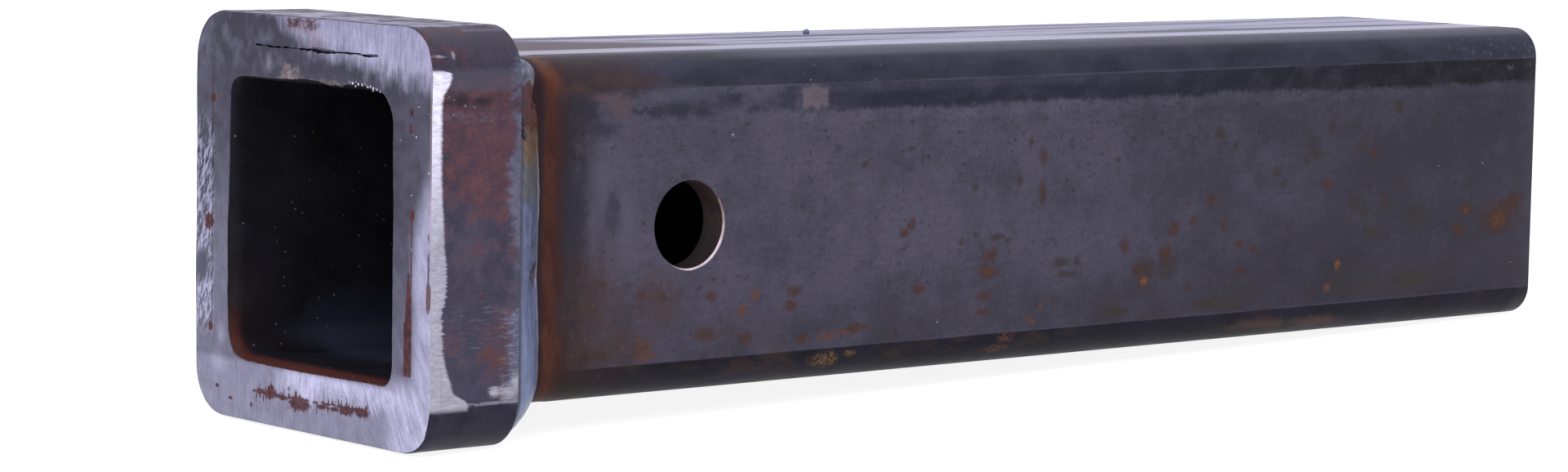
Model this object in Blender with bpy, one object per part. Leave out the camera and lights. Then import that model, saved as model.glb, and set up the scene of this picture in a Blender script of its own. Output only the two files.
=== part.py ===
"""A weld-on receiver tube: a square steel tube with a reinforcing collar welded round its mouth.

The tube lies along X, with its mouth at the -X end, and the collar's underside is at z = 0.
The origin is under the middle of the tube's length. Every size is in metres.
"""

import math

import bmesh
import bpy

# Driving dimensions of the tube
TUBE_LENGTH = 0.3048
TUBE_SIZE = 0.0635
TUBE_WALL = 0.0060
TUBE_CORNER = 0.0063
BORE_CORNER = 0.0045
MOUTH_BREAK = 0.0006

# The band that was ground clean before welding, from the mouth to just behind the rear weld
SEAT_DEPTH = 0.0001
SEAT_MARGIN = 0.0050
SEAT_RAMP = 0.0006

# The hitch pin's hole, through both side walls
PIN_DISTANCE = 0.0635
PIN_HOLE = 0.0165
PIN_DEBURR = 0.0004

# Driving dimensions of the collar
COLLAR_LENGTH = 0.0198
COLLAR_WALL = 0.00615
COLLAR_CORNER = 0.0090
FACE_BEVEL_IN = 0.0008
FACE_BEVEL_BACK = 0.0020
REAR_ROUND = 0.0006
GROOVE_WIDTH = 0.0030
GROOVE_DEPTH = 0.0034

# The fillet weld behind the collar
REAR_WELD_LEG = 0.0089
REAR_WELD_SHY = 0.0007
REAR_WELD_CROWN = 0.0006
TOE_WANDER = 0.0004
RIPPLE_PITCH = 0.0026
RIPPLE_HEIGHT = 0.00014
RIPPLE_SWEEP = 0.0022
LUMP_HEIGHT = 0.0010
LUMP_REACH = 0.0036
CRATER_DEPTH = 0.0009
CRATER_REACH = 0.0028
CRATER_LEAD = 0.0058

# Where the bead starts and ends, as a share of the way round: the near side's upper corner
WELD_START = 0.49

# The gap between neighbouring pieces
CLEARANCE = 0.0003

# How finely round shapes are divided
CORNER_STEPS = 10
PIN_STEPS = 48
ROUND_STEPS = 3
BEAD_STEP = 0.00068
BEAD_ROWS = 7

# Lengths that follow from the driving dimensions
TUBE_HALF = TUBE_SIZE / 2
BORE_HALF = TUBE_HALF - TUBE_WALL
SEAT_HALF = TUBE_HALF - SEAT_DEPTH
SEAT_LENGTH = COLLAR_LENGTH + REAR_WELD_LEG + SEAT_MARGIN
COLLAR_BORE_HALF = SEAT_HALF + CLEARANCE
COLLAR_HALF = COLLAR_BORE_HALF + COLLAR_WALL
MOUTH_X = -TUBE_LENGTH / 2
AXIS_Z = COLLAR_HALF


def clear_scene():
    """Remove everything that the scene starts with."""
    for thing in list(bpy.data.objects):
        bpy.data.objects.remove(thing, do_unlink=True)


def steel(name, colour, roughness, metallic):
    """A plain Principled steel."""
    material = bpy.data.materials.new(name)
    material.use_nodes = True
    shader = material.node_tree.nodes["Principled BSDF"]
    shader.inputs["Base Color"].default_value = (*colour, 1.0)
    shader.inputs["Roughness"].default_value = roughness
    shader.inputs["Metallic"].default_value = metallic
    return material


def scaled_steel():
    return steel("mill_scale_steel", (0.075, 0.072, 0.094), 0.55, 0.6)


def collar_steel():
    return steel("ground_collar_steel", (0.30, 0.29, 0.34), 0.42, 0.8)


def weld_steel():
    return steel("weld_metal", (0.20, 0.23, 0.28), 0.40, 0.8)


def ground_weld_steel():
    return steel("ground_weld_metal", (0.52, 0.51, 0.58), 0.35, 0.9)


def rounded_square(half, radius, side_steps, corner_steps):
    """Points round a square with round corners, each as (y, z, normal y, normal z).

    They run from the lower end of the +Y side, anticlockwise seen from the tail, and every
    square with the same steps has its points in the same order.
    """
    reach = half - radius
    points = []
    for side in range(4):
        turn = side * math.pi / 2
        cos_turn, sin_turn = math.cos(turn), math.sin(turn)
        local = [(half, -reach + 2 * reach * step / side_steps, 0.0) for step in range(side_steps)]
        for step in range(corner_steps):
            angle = math.pi / 2 * step / corner_steps
            local.append((reach + radius * math.cos(angle), reach + radius * math.sin(angle), angle))
        for across, along, angle in local:
            y = across * cos_turn - along * sin_turn
            z = across * sin_turn + along * cos_turn
            points.append((y, z, math.cos(angle + turn), math.sin(angle + turn)))
    return points


def ring_of_loops(mesh, loops):
    """Join loops of the same number of points, each to the next and the last to the first."""
    rings = [[mesh.verts.new(point) for point in loop] for loop in loops]
    for ring, following in zip(rings, rings[1:] + rings[:1]):
        for index in range(len(ring)):
            after = (index + 1) % len(ring)
            mesh.faces.new((ring[index], following[index], following[after], ring[after]))
    bmesh.ops.recalc_face_normals(mesh, faces=mesh.faces)


def square_wall(stations):
    """A wall round the tube's axis. Each station is (x from the mouth, half size, corner radius)."""
    mesh = bmesh.new()
    loops = []
    for x, half, radius in stations:
        square = rounded_square(half, radius, 1, CORNER_STEPS)
        loops.append([(MOUTH_X + x, y, AXIS_Z + z) for y, z, _, _ in square])
    ring_of_loops(mesh, loops)
    return mesh


def as_object(name, mesh, material):
    """Turn a bmesh into a named object, smooth on its round faces and sharp at its edges."""
    data = bpy.data.meshes.new(name)
    mesh.to_mesh(data)
    mesh.free()
    data.materials.append(material)
    data.shade_smooth()
    data.set_sharp_from_angle(angle=math.radians(30))
    thing = bpy.data.objects.new(name, data)
    bpy.context.scene.collection.objects.link(thing)
    return thing


def pin_hole_cutter():
    """A turned rod across the tube, flared where it leaves each side wall to break the edge."""
    mesh = bmesh.new()
    radius = PIN_HOLE / 2
    past = 2 * PIN_DEBURR
    flare = [(TUBE_HALF + past, radius + PIN_DEBURR + past), (TUBE_HALF - PIN_DEBURR, radius)]
    profile = [(TUBE_HALF + past, 0.0)] + flare
    profile += [(-across, out) for across, out in reversed(profile)]
    line = [mesh.verts.new((out, across, 0.0)) for across, out in profile]
    edges = [mesh.edges.new(pair) for pair in zip(line, line[1:])]
    bmesh.ops.spin(
        mesh,
        geom=line + edges,
        cent=(0, 0, 0),
        axis=(0, 1, 0),
        angle=2 * math.pi,
        steps=PIN_STEPS,
        use_merge=True,
    )
    bmesh.ops.remove_doubles(mesh, verts=mesh.verts, dist=1e-6)
    bmesh.ops.recalc_face_normals(mesh, faces=mesh.faces)
    cutter = as_object("pin_hole_cutter", mesh, scaled_steel())
    cutter.location = (MOUTH_X + PIN_DISTANCE, 0.0, AXIS_Z)
    cutter.hide_render = True
    cutter.display_type = "WIRE"
    return cutter


def receiver_tube():
    """The square tube, with its seat for the collar ground clean and the pin's hole drilled."""
    seat_corner = TUBE_CORNER - SEAT_DEPTH
    wall = square_wall(
        [
            (0.0, SEAT_HALF, seat_corner),
            (SEAT_LENGTH, SEAT_HALF, seat_corner),
            (SEAT_LENGTH + SEAT_RAMP, TUBE_HALF, TUBE_CORNER),
            (TUBE_LENGTH, TUBE_HALF, TUBE_CORNER),
            (TUBE_LENGTH, BORE_HALF, BORE_CORNER),
            (MOUTH_BREAK, BORE_HALF, BORE_CORNER),
            (0.0, BORE_HALF + MOUTH_BREAK, BORE_CORNER + MOUTH_BREAK),
        ]
    )
    tube = as_object("receiver_tube", wall, scaled_steel())
    drilling = tube.modifiers.new("pin_hole", "BOOLEAN")
    drilling.operation = "DIFFERENCE"
    drilling.solver = "EXACT"
    drilling.object = pin_hole_cutter()
    return tube


def collar():
    """The reinforcing collar: bevelled by grinding at the face, grooved inside for the front weld."""
    bore_corner = TUBE_CORNER - SEAT_DEPTH + CLEARANCE
    stations = [
        (0.0, COLLAR_HALF - FACE_BEVEL_IN, COLLAR_CORNER - FACE_BEVEL_IN),
        (FACE_BEVEL_BACK, COLLAR_HALF, COLLAR_CORNER),
    ]
    for step in range(ROUND_STEPS + 1):
        angle = math.pi / 2 * step / ROUND_STEPS
        back = COLLAR_LENGTH - REAR_ROUND * (1 - math.sin(angle))
        drop = REAR_ROUND * (1 - math.cos(angle))
        stations.append((back, COLLAR_HALF - drop, COLLAR_CORNER - drop))
    stations += [
        (COLLAR_LENGTH, COLLAR_BORE_HALF, bore_corner),
        (GROOVE_DEPTH, COLLAR_BORE_HALF, bore_corner),
        (0.0, COLLAR_BORE_HALF + GROOVE_WIDTH, bore_corner + GROOVE_WIDTH),
    ]
    return as_object("collar", square_wall(stations), collar_steel())


def front_weld():
    """The weld that fills the groove between tube and collar, ground flush with the face."""
    inner = SEAT_HALF + CLEARANCE
    inner_corner = TUBE_CORNER - SEAT_DEPTH + CLEARANCE
    slope = math.hypot(GROOVE_WIDTH, GROOVE_DEPTH)
    width = GROOVE_WIDTH - CLEARANCE * slope / GROOVE_DEPTH
    depth = width * GROOVE_DEPTH / GROOVE_WIDTH
    wall = square_wall(
        [
            (0.0, inner + width, inner_corner + width),
            (depth, inner, inner_corner),
            (0.0, inner, inner_corner),
        ]
    )
    return as_object("front_weld", wall, ground_weld_steel())


def around(position, centre, length):
    """The shorter way round a closed path of this length, from centre to position."""
    return (position - centre + length / 2) % length - length / 2


def bead_swell(along, down, length):
    """How far the bead stands out of its flat face.

    along is the distance round the tube, down runs from 0 at the collar's edge to 1 at the toe,
    and length is the whole way round.
    """
    belly = 4 * down * (1 - down)
    ripples = round(length / RIPPLE_PITCH)
    phase = (along - RIPPLE_SWEEP * belly) / length * ripples
    swell = REAR_WELD_CROWN * belly
    swell += RIPPLE_HEIGHT * (abs(math.cos(math.pi * phase)) - 0.5) * min(1.0, 2 * belly)
    start = length * WELD_START
    lump = around(along, start, length) / LUMP_REACH
    crater = around(along, start + CRATER_LEAD, length) / CRATER_REACH
    swell += LUMP_HEIGHT * math.exp(-lump * lump) * belly
    swell -= CRATER_DEPTH * math.exp(-crater * crater) * belly
    return swell


def toe_leg(along, length):
    """The bead's length on the tube, which wanders a little from place to place."""
    turn = 2 * math.pi * along / length
    wander = 0.5 * math.sin(3 * turn + 0.6) + 0.3 * math.sin(7 * turn + 2.1) + 0.2 * math.sin(16 * turn)
    return REAR_WELD_LEG + TOE_WANDER * (wander - 1)


def rear_weld():
    """The rippled fillet weld that runs right round the tube behind the collar."""
    root_x = COLLAR_LENGTH + CLEARANCE
    root_half = SEAT_HALF + CLEARANCE
    root_corner = TUBE_CORNER - SEAT_DEPTH + CLEARANCE
    height = COLLAR_HALF - REAR_WELD_SHY - root_half
    edge_corner = COLLAR_CORNER - REAR_WELD_SHY
    side_steps = round(2 * (root_half - root_corner) / BEAD_STEP)
    corner_steps = round(math.pi / 2 * (root_corner + edge_corner) / 2 / BEAD_STEP)

    def square(half, corner):
        return rounded_square(half, corner, side_steps, corner_steps)

    path = square(root_half, root_corner)
    travelled = [0.0]
    for here, there in zip(path, path[1:] + path[:1]):
        travelled.append(travelled[-1] + math.dist(here[:2], there[:2]))
    length = travelled.pop()

    loops = [[(MOUTH_X + root_x, y, AXIS_Z + z) for y, z, _, _ in path]]
    for row in range(BEAD_ROWS):
        down = row / (BEAD_ROWS - 1)
        rise = height * (1 - down)
        corner = edge_corner + (root_corner - edge_corner) * down
        loop = []
        for along, (y, z, out_y, out_z) in zip(travelled, square(root_half + rise, corner)):
            leg = toe_leg(along, length) - CLEARANCE
            slope = math.hypot(leg, height)
            swell = bead_swell(along, down, length)
            out = swell * leg / slope
            x = root_x + leg * down + swell * height / slope
            loop.append((MOUTH_X + x, y + out_y * out, AXIS_Z + z + out_z * out))
        loops.append(loop)
    mesh = bmesh.new()
    ring_of_loops(mesh, loops)
    return as_object("rear_weld", mesh, weld_steel())


def build():
    clear_scene()
    receiver_tube()
    collar()
    front_weld()
    rear_weld()


build()
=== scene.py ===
"""Looks of the weld-on receiver tube: bare steel as it came from the weld bench and the grinder.

Shapes are worked out in millimetres in the tube's own frame: x from the mouth towards the tail,
y across, with the photographed side at -y, and z up from the tube's axis.
"""

import math

import bmesh
import bpy
import numpy as np
from mathutils import Matrix, Vector, noise


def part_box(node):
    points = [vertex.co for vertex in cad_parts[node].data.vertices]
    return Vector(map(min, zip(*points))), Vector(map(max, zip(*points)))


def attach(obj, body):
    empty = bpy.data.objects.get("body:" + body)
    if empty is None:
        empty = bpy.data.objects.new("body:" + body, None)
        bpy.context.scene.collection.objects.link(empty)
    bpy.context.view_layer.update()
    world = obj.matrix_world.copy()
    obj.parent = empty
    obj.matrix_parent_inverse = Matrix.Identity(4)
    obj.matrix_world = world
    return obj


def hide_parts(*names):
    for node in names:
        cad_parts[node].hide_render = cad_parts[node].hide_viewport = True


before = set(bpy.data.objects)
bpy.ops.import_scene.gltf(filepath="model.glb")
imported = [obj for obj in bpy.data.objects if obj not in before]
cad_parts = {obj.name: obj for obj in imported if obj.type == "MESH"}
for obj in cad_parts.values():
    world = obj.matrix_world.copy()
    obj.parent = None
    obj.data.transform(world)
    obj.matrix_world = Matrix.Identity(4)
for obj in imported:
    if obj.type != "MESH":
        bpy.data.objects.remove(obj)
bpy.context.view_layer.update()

MM = 0.001
tube_low, tube_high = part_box("receiver_tube")
collar_low, collar_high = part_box("collar")
weld_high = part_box("rear_weld")[1]
MOUTH_X = tube_low.x
AXIS_Z = (tube_low.z + tube_high.z) / 2
LENGTH = (tube_high.x - tube_low.x) / MM
TUBE_HALF = (tube_high.y - tube_low.y) / 2 / MM
COLLAR_HALF = (collar_high.y - collar_low.y) / 2 / MM
COLLAR_LENGTH = (collar_high.x - collar_low.x) / MM
WELD_TOE = (weld_high.x - MOUTH_X) / MM

# Sizes of the tube and collar that the frame's boxes don't give, in mm
TUBE_CORNER = 6.3
BORE_HALF = 25.75
BORE_CORNER = 4.5
SEAT_DEPTH = 0.1
SEAT_END = 33.7
SEAM_HALF = 31.95
COLLAR_CORNER = 9.0
PIN_X = 63.5
PIN_RADIUS = 8.25

# Details of the dressed pieces, in mm
FLARE_WIDTH = 0.95
FLARE_DEPTH = 0.32
FLARE_LEAN = 0.55
SAWN_EDGE = 0.25
REAR_ROUND = 0.7
BEAD_SINK = 0.15
LUMP_Z = 27.6
NOTCH_Z = 24.9
CRATER_Z = -7.5

# How finely the pieces are meshed
SIDE_STEPS = 132
CORNER_STEPS = 24
BEAD_SIDE_STEPS = 196
BEAD_CORNER_STEPS = 40
BEAD_ROWS = 18
TUBE_FACE_ROWS = 20
COLLAR_FACE_ROWS = 18
DRILL_STEPS = 96
SHARP_ANGLE = math.radians(40)

# Places of the materials on the tube; the collar has the first two
SCALE, GROUND, BORE, SAWN, DRILLED, DEBURRED = range(6)

# The photograph's camera, from a fit to the part's edges: pixels, degrees and mm
PHOTO_WIDTH = 1920
FOCAL_PIXELS = 5343.2
SENSOR = 36.0
CAMERA_YAW = 49.495
CAMERA_PITCH = -5.655
CAMERA_ROLL = 1.037
CAMERA_PLACE = (-448.01, -657.71, 78.22)


def row_point(x, y, z):
    """A point of the tube's own frame, in mm, as a point of the row's frame, in metres."""
    return Vector((MOUTH_X + x * MM, y * MM, AXIS_Z + z * MM))


def linked(name, data):
    """A new object that holds this data, linked to the scene."""
    piece = bpy.data.objects.new(name, data)
    bpy.context.scene.collection.objects.link(piece)
    return piece


# Noise and outlines

# Corners of a jagged line before it repeats, and the one that stands at 0
KNOTS = 997
FIRST_KNOT = 400


def smooth(value, low, high):
    """0 below low, 1 above high, and an even curve between them."""
    share = np.clip((value - low) / (high - low), 0, 1)
    return share * share * (3 - 2 * share)


def inside(value, low, high, soft):
    """1 between low and high, fading to 0 over soft on either side."""
    return smooth(value, low - soft, low) * (1 - smooth(value, high, high + soft))


def hump(value, middle, width):
    """1 at the middle, falling to almost 0 within two widths on either side."""
    return np.exp(-(((value - middle) / width) ** 2))


def ragged(value, pitch, seed):
    """A jagged line between -1 and 1, with a corner every pitch."""
    knots = np.random.RandomState(seed).uniform(-1, 1, KNOTS)
    place = np.asarray(value) / pitch + FIRST_KNOT
    return np.interp(place % (KNOTS - 1), np.arange(KNOTS), knots)


def clouds(x, y, z, size, seed=0.0):
    """Smooth noise between -1 and 1 whose lumps are about this many mm across."""
    x, y, z = np.broadcast_arrays(x, y, z)
    values = [noise.noise((a / size + seed, b / size, c / size)) for a, b, c in zip(x, y, z)]
    return np.array(values)


class Square:
    """Sample points round a square with round corners: far side, top, near side, underside."""

    def __init__(self, side_steps, corner_steps):
        sides, shares, angles = [], [], []
        for side in range(4):
            sides += [side] * (side_steps + corner_steps)
            shares += [step / side_steps for step in range(side_steps)] + [1.0] * corner_steps
            angles += [0.0] * side_steps
            angles += [math.pi / 2 * step / corner_steps for step in range(corner_steps)]
        self.side = np.array(sides)
        self.share = np.array(shares)
        self.angle = np.array(angles)
        self.turn = self.side * math.pi / 2
        self.round = np.tile([False] * side_steps + [True] * corner_steps, 4)
        self.out_y = np.cos(self.turn + self.angle)
        self.out_z = np.sin(self.turn + self.angle)

    def at(self, half, corners):
        """y and z at this half size, with the radius of the corner that follows each side."""
        corners = np.broadcast_to(corners, 4)
        after = corners[self.side]
        before = corners[self.side - 1]
        reach = half - after
        start = before - half
        straight = start + (reach - start) * self.share
        along = np.where(self.round, reach + after * np.sin(self.angle), straight)
        across = np.where(self.round, reach + after * np.cos(self.angle), half)
        y = across * np.cos(self.turn) - along * np.sin(self.turn)
        z = across * np.sin(self.turn) + along * np.cos(self.turn)
        return y, z


def ring_mesh(name, rows, slots, slot_of_row):
    """A closed ring whose rows of points follow each other round its section."""
    count = len(rows[0][1])
    points = np.concatenate([np.stack(np.broadcast_arrays(x, y, z), 1) for x, y, z in rows])
    points = points * MM + np.array([MOUTH_X, 0, AXIS_Z])
    here = np.arange(count)
    after = (here + 1) % count
    faces = []
    for row in range(len(rows)):
        base, top = row * count, (row + 1) % len(rows) * count
        faces.append(np.stack([base + here, top + here, top + after, base + after], 1))
    faces = np.concatenate(faces)
    middle = points.mean(0)
    a, b, c = (points[faces[:, corner]] - middle for corner in (0, 1, 2))
    if np.einsum("ij,ij->i", a, np.cross(b, c)).sum() < 0:
        faces = faces[:, ::-1]
    data = bpy.data.meshes.new(name)
    data.from_pydata(points.tolist(), [], faces.tolist())
    for material in slots:
        data.materials.append(material)
    data.polygons.foreach_set("material_index", np.repeat(slot_of_row, count).astype(np.int32))
    data.shade_smooth()
    data.set_sharp_from_angle(angle=SHARP_ANGLE)
    return linked(name, data)


# The ground face, which the tube's end and the collar share

FACE_SINK = 0.14
MOUTH_CORNERS = np.array([4.2, 5.6, 3.9, 7.2])
MOUTH_HALF = 26.35

# The mouth's rim from its depth outwards: depth, how much narrower, and its share of the burr
RIM_DEPTH = 3.0
RIM_ROWS = (
    (RIM_DEPTH, 0.6, 0.0),
    (1.6, 0.57, 0.3),
    (0.7, 0.42, 0.9),
    (0.25, 0.2, 1.0),
    (0.06, 0.07, 1.0),
)


def face_x(y, z):
    """How far the ground face lies behind the foremost point of the part."""
    spread = np.abs(y) ** 6 + np.abs(z) ** 6
    corner = smooth(spread ** (1 / 6), 36.0, 42.0)
    waves = 0.05 * np.sin(y / 5.1 + 0.7) * np.sin(z / 6.3) + 0.03 * np.sin((y - z) / 2.9)
    return FACE_SINK + waves + 0.35 * corner


def seam_centre(y, z):
    """The half size at which the seam between tube and collar runs."""
    return SEAM_HALF + 0.3 + 0.1 * ragged(y + 3 * z, 0.9, 3) + 0.08 * ragged(y - 2 * z, 2.7, 4)


def seam_gap(path, y, z):
    """How wide the seam stands open: mostly at the top, a hairline at the far side."""
    top = (path.side == 1) & ~path.round
    far = (path.side == 0) & ~path.round
    crack = inside(y, -20.5, 17.5, 1.0) * (0.27 + 0.2 * ragged(y, 0.8, 5))
    crack += 0.34 * hump(y, -2.3, 1.4)
    crack += 0.3 * hump(y, -18.6, 1.3)
    crack += 0.72 * hump(y, -4.0, 3.6) * (0.8 + 0.4 * ragged(y, 0.7, 6))
    hairline = inside(z, -21.0, 28.0, 1.0) * (0.07 + 0.07 * ragged(z, 1.3, 7))
    return np.where(top, crack, 0) + np.where(far, np.maximum(hairline, 0), 0)


def mouth_burr(path, y, z):
    """How far the mouth's edge stands into the opening: uneven sides, and a torn burr at the top."""
    top = -0.28 - 0.3 * hump(y, 2.0, 2.5) + 0.38 * smooth(-y, 4.0, 4.9) + 0.24 * smooth(y, 7.5, 11.0)
    top = top - 0.4 * smooth(-y, 9.0, 11.5) - 0.3 * hump(y, -14.0, 3.2) + 0.3 * smooth(-y, 16.5, 20.0)
    top = top + smooth(-y, -6.0, 4.0) * (0.15 * ragged(y, 0.5, 8) + 0.15 * ragged(y, 1.7, 9))
    top = top * inside(y, -21.5, 20.5, 1.5)
    far = -0.15 + 0.08 * ragged(z, 2.3, 10) - 0.7 * smooth(-z, -14.0, 4.0) + 0.35 * smooth(-z, 13.0, 20.0)
    near = 0.12 + 0.28 * smooth(z, 0.0, 14.0)
    low = -0.42 - 0.3 * smooth(y, -20.0, 2.0) + 0.14 * smooth(y, 12.0, 21.0)
    burr = top * ((path.side == 1) & ~path.round)
    burr = burr + far * smooth(path.out_y, 0.1, 0.9) + near * smooth(-path.out_y, 0.1, 0.9)
    burr = burr + low * smooth(-path.out_z, 0.1, 0.9)
    return burr + 0.05 * ragged(y * 1.7 + z * 1.3, 1.1, 11)


def seam_edge(path, share):
    """The seam's own line, for the tube's side of it with share -1 and the collar's with 1."""
    y, z = path.at(SEAM_HALF, TUBE_CORNER)
    half = seam_centre(y, z) + share * seam_gap(path, y, z) / 2
    return half, TUBE_CORNER + half.mean() - SEAM_HALF


def tube_face_rows(path):
    """The mouth's rim and the end of the tube's wall, from the bore out to the seam."""
    rows = []
    y, z = path.at(MOUTH_HALF, MOUTH_CORNERS)
    burr = mouth_burr(path, y, z)
    for x, drop, hang in RIM_ROWS:
        mixed = MOUTH_CORNERS + (BORE_CORNER - MOUTH_CORNERS) * x / RIM_DEPTH
        half = MOUTH_HALF - drop - burr * hang
        y, z = path.at(half, mixed)
        rows.append((x + face_x(y, z), y, z))
    seam, seam_corner = seam_edge(path, -1)
    edge = MOUTH_HALF - burr
    for share in np.linspace(0, 1, TUBE_FACE_ROWS + 1):
        half = edge + (seam - edge) * share
        y, z = path.at(half, MOUTH_CORNERS + (seam_corner - MOUTH_CORNERS) * share)
        rows.append((face_x(y, z), y, z))
    return rows


def collar_face_rows(path):
    """The collar's part of the face, from the seam out to the bevel."""
    rows = []
    seam, seam_corner = seam_edge(path, 1)
    near = near_share(path)
    edge = COLLAR_HALF - bevel_in(near)
    for share in np.linspace(0, 1, COLLAR_FACE_ROWS + 1):
        half = seam + (edge - seam) * share
        corner = seam_corner + (COLLAR_CORNER - bevel_in(near).mean() - seam_corner) * share
        y, z = path.at(half, corner)
        rows.append((face_x(y, z), y, z))
    return rows


def near_share(path):
    """1 on the near side and 0 on the other three, with an even change as the corners begin."""
    return smooth(-path.out_y, 0.75, 0.99)


def bevel_in(near):
    """How far the bevel comes in over the face."""
    return 0.22 + 0.58 * near


def bevel_back(near):
    """How far the bevel goes back along the collar's side."""
    return 0.45 + 1.45 * near


def ground_flat(path, x, z):
    """How deep the grinder bit into the collar's side beyond the bevel, mostly low down."""
    reach = 2.6 + 3.0 * smooth(-z, 19, 28) + 2.6 * smooth(-z, 27, 30)
    return 0.16 * near_share(path) * (1 - smooth(x, reach - 1.2, reach + 0.2))


# The three dressed pieces


def tube_piece(materials):
    """The square tube, with its rim at the mouth, its drilled pin hole and its sawn end."""
    path = Square(SIDE_STEPS, CORNER_STEPS)
    rows = tube_face_rows(path)
    slots = [GROUND] * len(rows)
    slots[:4] = [BORE] * 4
    seam, seam_corner = seam_edge(path, -1)
    y, z = path.at(seam - 0.03, seam_corner)
    rows.append((face_x(y, z) + 0.3, y, z))
    slots.append(SCALE)
    lengths = [0.9, 8.0, 18.0]
    lengths += list(np.linspace(WELD_TOE - 3.0, SEAT_END + 0.6, 8))
    lengths += list(np.linspace(37.0, LENGTH - SAWN_EDGE, 50))
    for x in lengths:
        sunk = SEAT_DEPTH * (1 - smooth(x, SEAT_END, SEAT_END + 0.6))
        y, z = path.at(TUBE_HALF - sunk, TUBE_CORNER)
        dent = 0.05 * (0.5 + 0.5 * clouds(x, y, z, 21.0, 3.0)) * smooth(x, 30, 40)
        rows.append((x, y - path.out_y * dent, z - path.out_z * dent))
        slots.append(SCALE)
    for half, x in ((TUBE_HALF - 0.18, LENGTH), (29.6, LENGTH), (27.6, LENGTH), (BORE_HALF + 0.2, LENGTH)):
        y, z = path.at(half, TUBE_CORNER + (half - TUBE_HALF) * 0.3)
        rows.append((x, y, z))
        slots.append(SAWN)
    slots[-5] = SAWN
    for x in np.linspace(LENGTH - SAWN_EDGE, 8.0, 16):
        y, z = path.at(BORE_HALF, BORE_CORNER)
        rows.append((x, y, z))
        slots.append(BORE)
    slots[-17] = SAWN
    piece = ring_mesh("tube", rows, materials, slots)
    drill(piece)
    return piece


def drill(piece):
    """Cuts the pin hole through both side walls, with the burr knocked off its outer edges."""
    beyond = TUBE_HALF + 1.0
    profile = [(beyond, 0.0), (beyond, PIN_RADIUS + FLARE_WIDTH), (TUBE_HALF - FLARE_DEPTH, PIN_RADIUS)]
    profile += [(-across, out) for across, out in reversed(profile)]
    points, faces = [], []
    for across, out in profile:
        for step in range(DRILL_STEPS):
            angle = 2 * math.pi * step / DRILL_STEPS
            lean = FLARE_LEAN * (out > PIN_RADIUS)
            x = PIN_X + lean + out * math.cos(angle)
            z = -lean + out * math.sin(angle)
            points.append(row_point(x, across, z))
    for row in range(len(profile) - 1):
        for step in range(DRILL_STEPS):
            after = (step + 1) % DRILL_STEPS
            base, top = row * DRILL_STEPS, (row + 1) * DRILL_STEPS
            faces.append((base + step, top + step, top + after, base + after))
    data = bpy.data.meshes.new("pin_drill")
    data.from_pydata(points, [], faces)
    data.materials.append(piece.data.materials[DRILLED])
    data.materials.append(piece.data.materials[DEBURRED])
    flares = np.repeat([1, 1, 0, 1, 1], DRILL_STEPS).astype(np.int32)
    data.polygons.foreach_set("material_index", flares)
    cutter = linked("pin_drill", data)
    clean(cutter)
    cut = piece.modifiers.new("pin_hole", "BOOLEAN")
    cut.operation = "DIFFERENCE"
    cut.solver = "EXACT"
    cut.material_mode = "TRANSFER"
    cut.object = cutter
    apply_modifiers(piece)
    bpy.data.objects.remove(cutter)


def clean(piece):
    """Joins doubled points and turns every face outwards."""
    mesh = bmesh.new()
    mesh.from_mesh(piece.data)
    bmesh.ops.remove_doubles(mesh, verts=mesh.verts, dist=1e-7)
    bmesh.ops.dissolve_degenerate(mesh, dist=1e-7, edges=mesh.edges)
    bmesh.ops.recalc_face_normals(mesh, faces=mesh.faces)
    mesh.to_mesh(piece.data)
    mesh.free()


def apply_modifiers(piece):
    """Replaces the piece's mesh by the one that its modifiers give."""
    graph = bpy.context.evaluated_depsgraph_get()
    mesh = bpy.data.meshes.new_from_object(piece.evaluated_get(graph))
    piece.modifiers.clear()
    piece.data = mesh
    mesh.shade_smooth()
    mesh.set_sharp_from_angle(angle=SHARP_ANGLE)


def collar_piece(materials):
    """The collar, with the ground weld at its inner edge, its bevel and its pitted sides."""
    path = Square(SIDE_STEPS, CORNER_STEPS)
    near = near_share(path)
    seam, seam_corner = seam_edge(path, 1)
    rows = [(14.0, *path.at(SEAM_HALF, TUBE_CORNER + 0.2)), (0.9, *path.at(SEAM_HALF, TUBE_CORNER + 0.2))]
    y, z = path.at(seam + 0.03, seam_corner)
    rows.append((face_x(y, z) + 0.3, y, z))
    slots = [GROUND] * len(rows)
    face = collar_face_rows(path)
    rows += face
    slots += [GROUND] * len(face)
    for share in (0.12, 0.35, 0.6, 0.85, 1.0):
        half = COLLAR_HALF - bevel_in(near) * (1 - share)
        y, z = path.at(half, COLLAR_CORNER)
        rows.append((face_x(y, z) + bevel_back(near) * share**1.15, y, z))
        slots.append(SCALE)
    for x in np.linspace(2.6, COLLAR_LENGTH - REAR_ROUND, 26):
        y, z = path.at(COLLAR_HALF, COLLAR_CORNER)
        dent = 0.05 * (0.5 + 0.5 * clouds(x, y, z, 6.0)) + 0.03 * (0.5 + 0.5 * clouds(x, y, z, 1.6))
        smudge = hump(x, 7.5, 3.6) * hump(z, 24.6, 0.9) * (y < 0)
        dent = dent + 0.3 * smudge * (1 + 0.5 * clouds(x, y, z, 0.9)) + ground_flat(path, x, z)
        rows.append((x, y - path.out_y * dent, z - path.out_z * dent))
        slots.append(SCALE)
    for step in range(1, 6):
        angle = math.pi / 2 * step / 5
        half = COLLAR_HALF - REAR_ROUND * (1 - math.cos(angle)) - 0.03
        y, z = path.at(half, COLLAR_CORNER)
        rows.append((COLLAR_LENGTH - REAR_ROUND * (1 - math.sin(angle)), y, z))
        slots.append(SCALE)
    for half in (35.0, 32.6):
        rows.append((COLLAR_LENGTH, *path.at(half, COLLAR_CORNER + (half - COLLAR_HALF) * 0.5)))
        slots.append(SCALE)
    return ring_mesh("collar_and_front_weld", rows, materials, slots)


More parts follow.
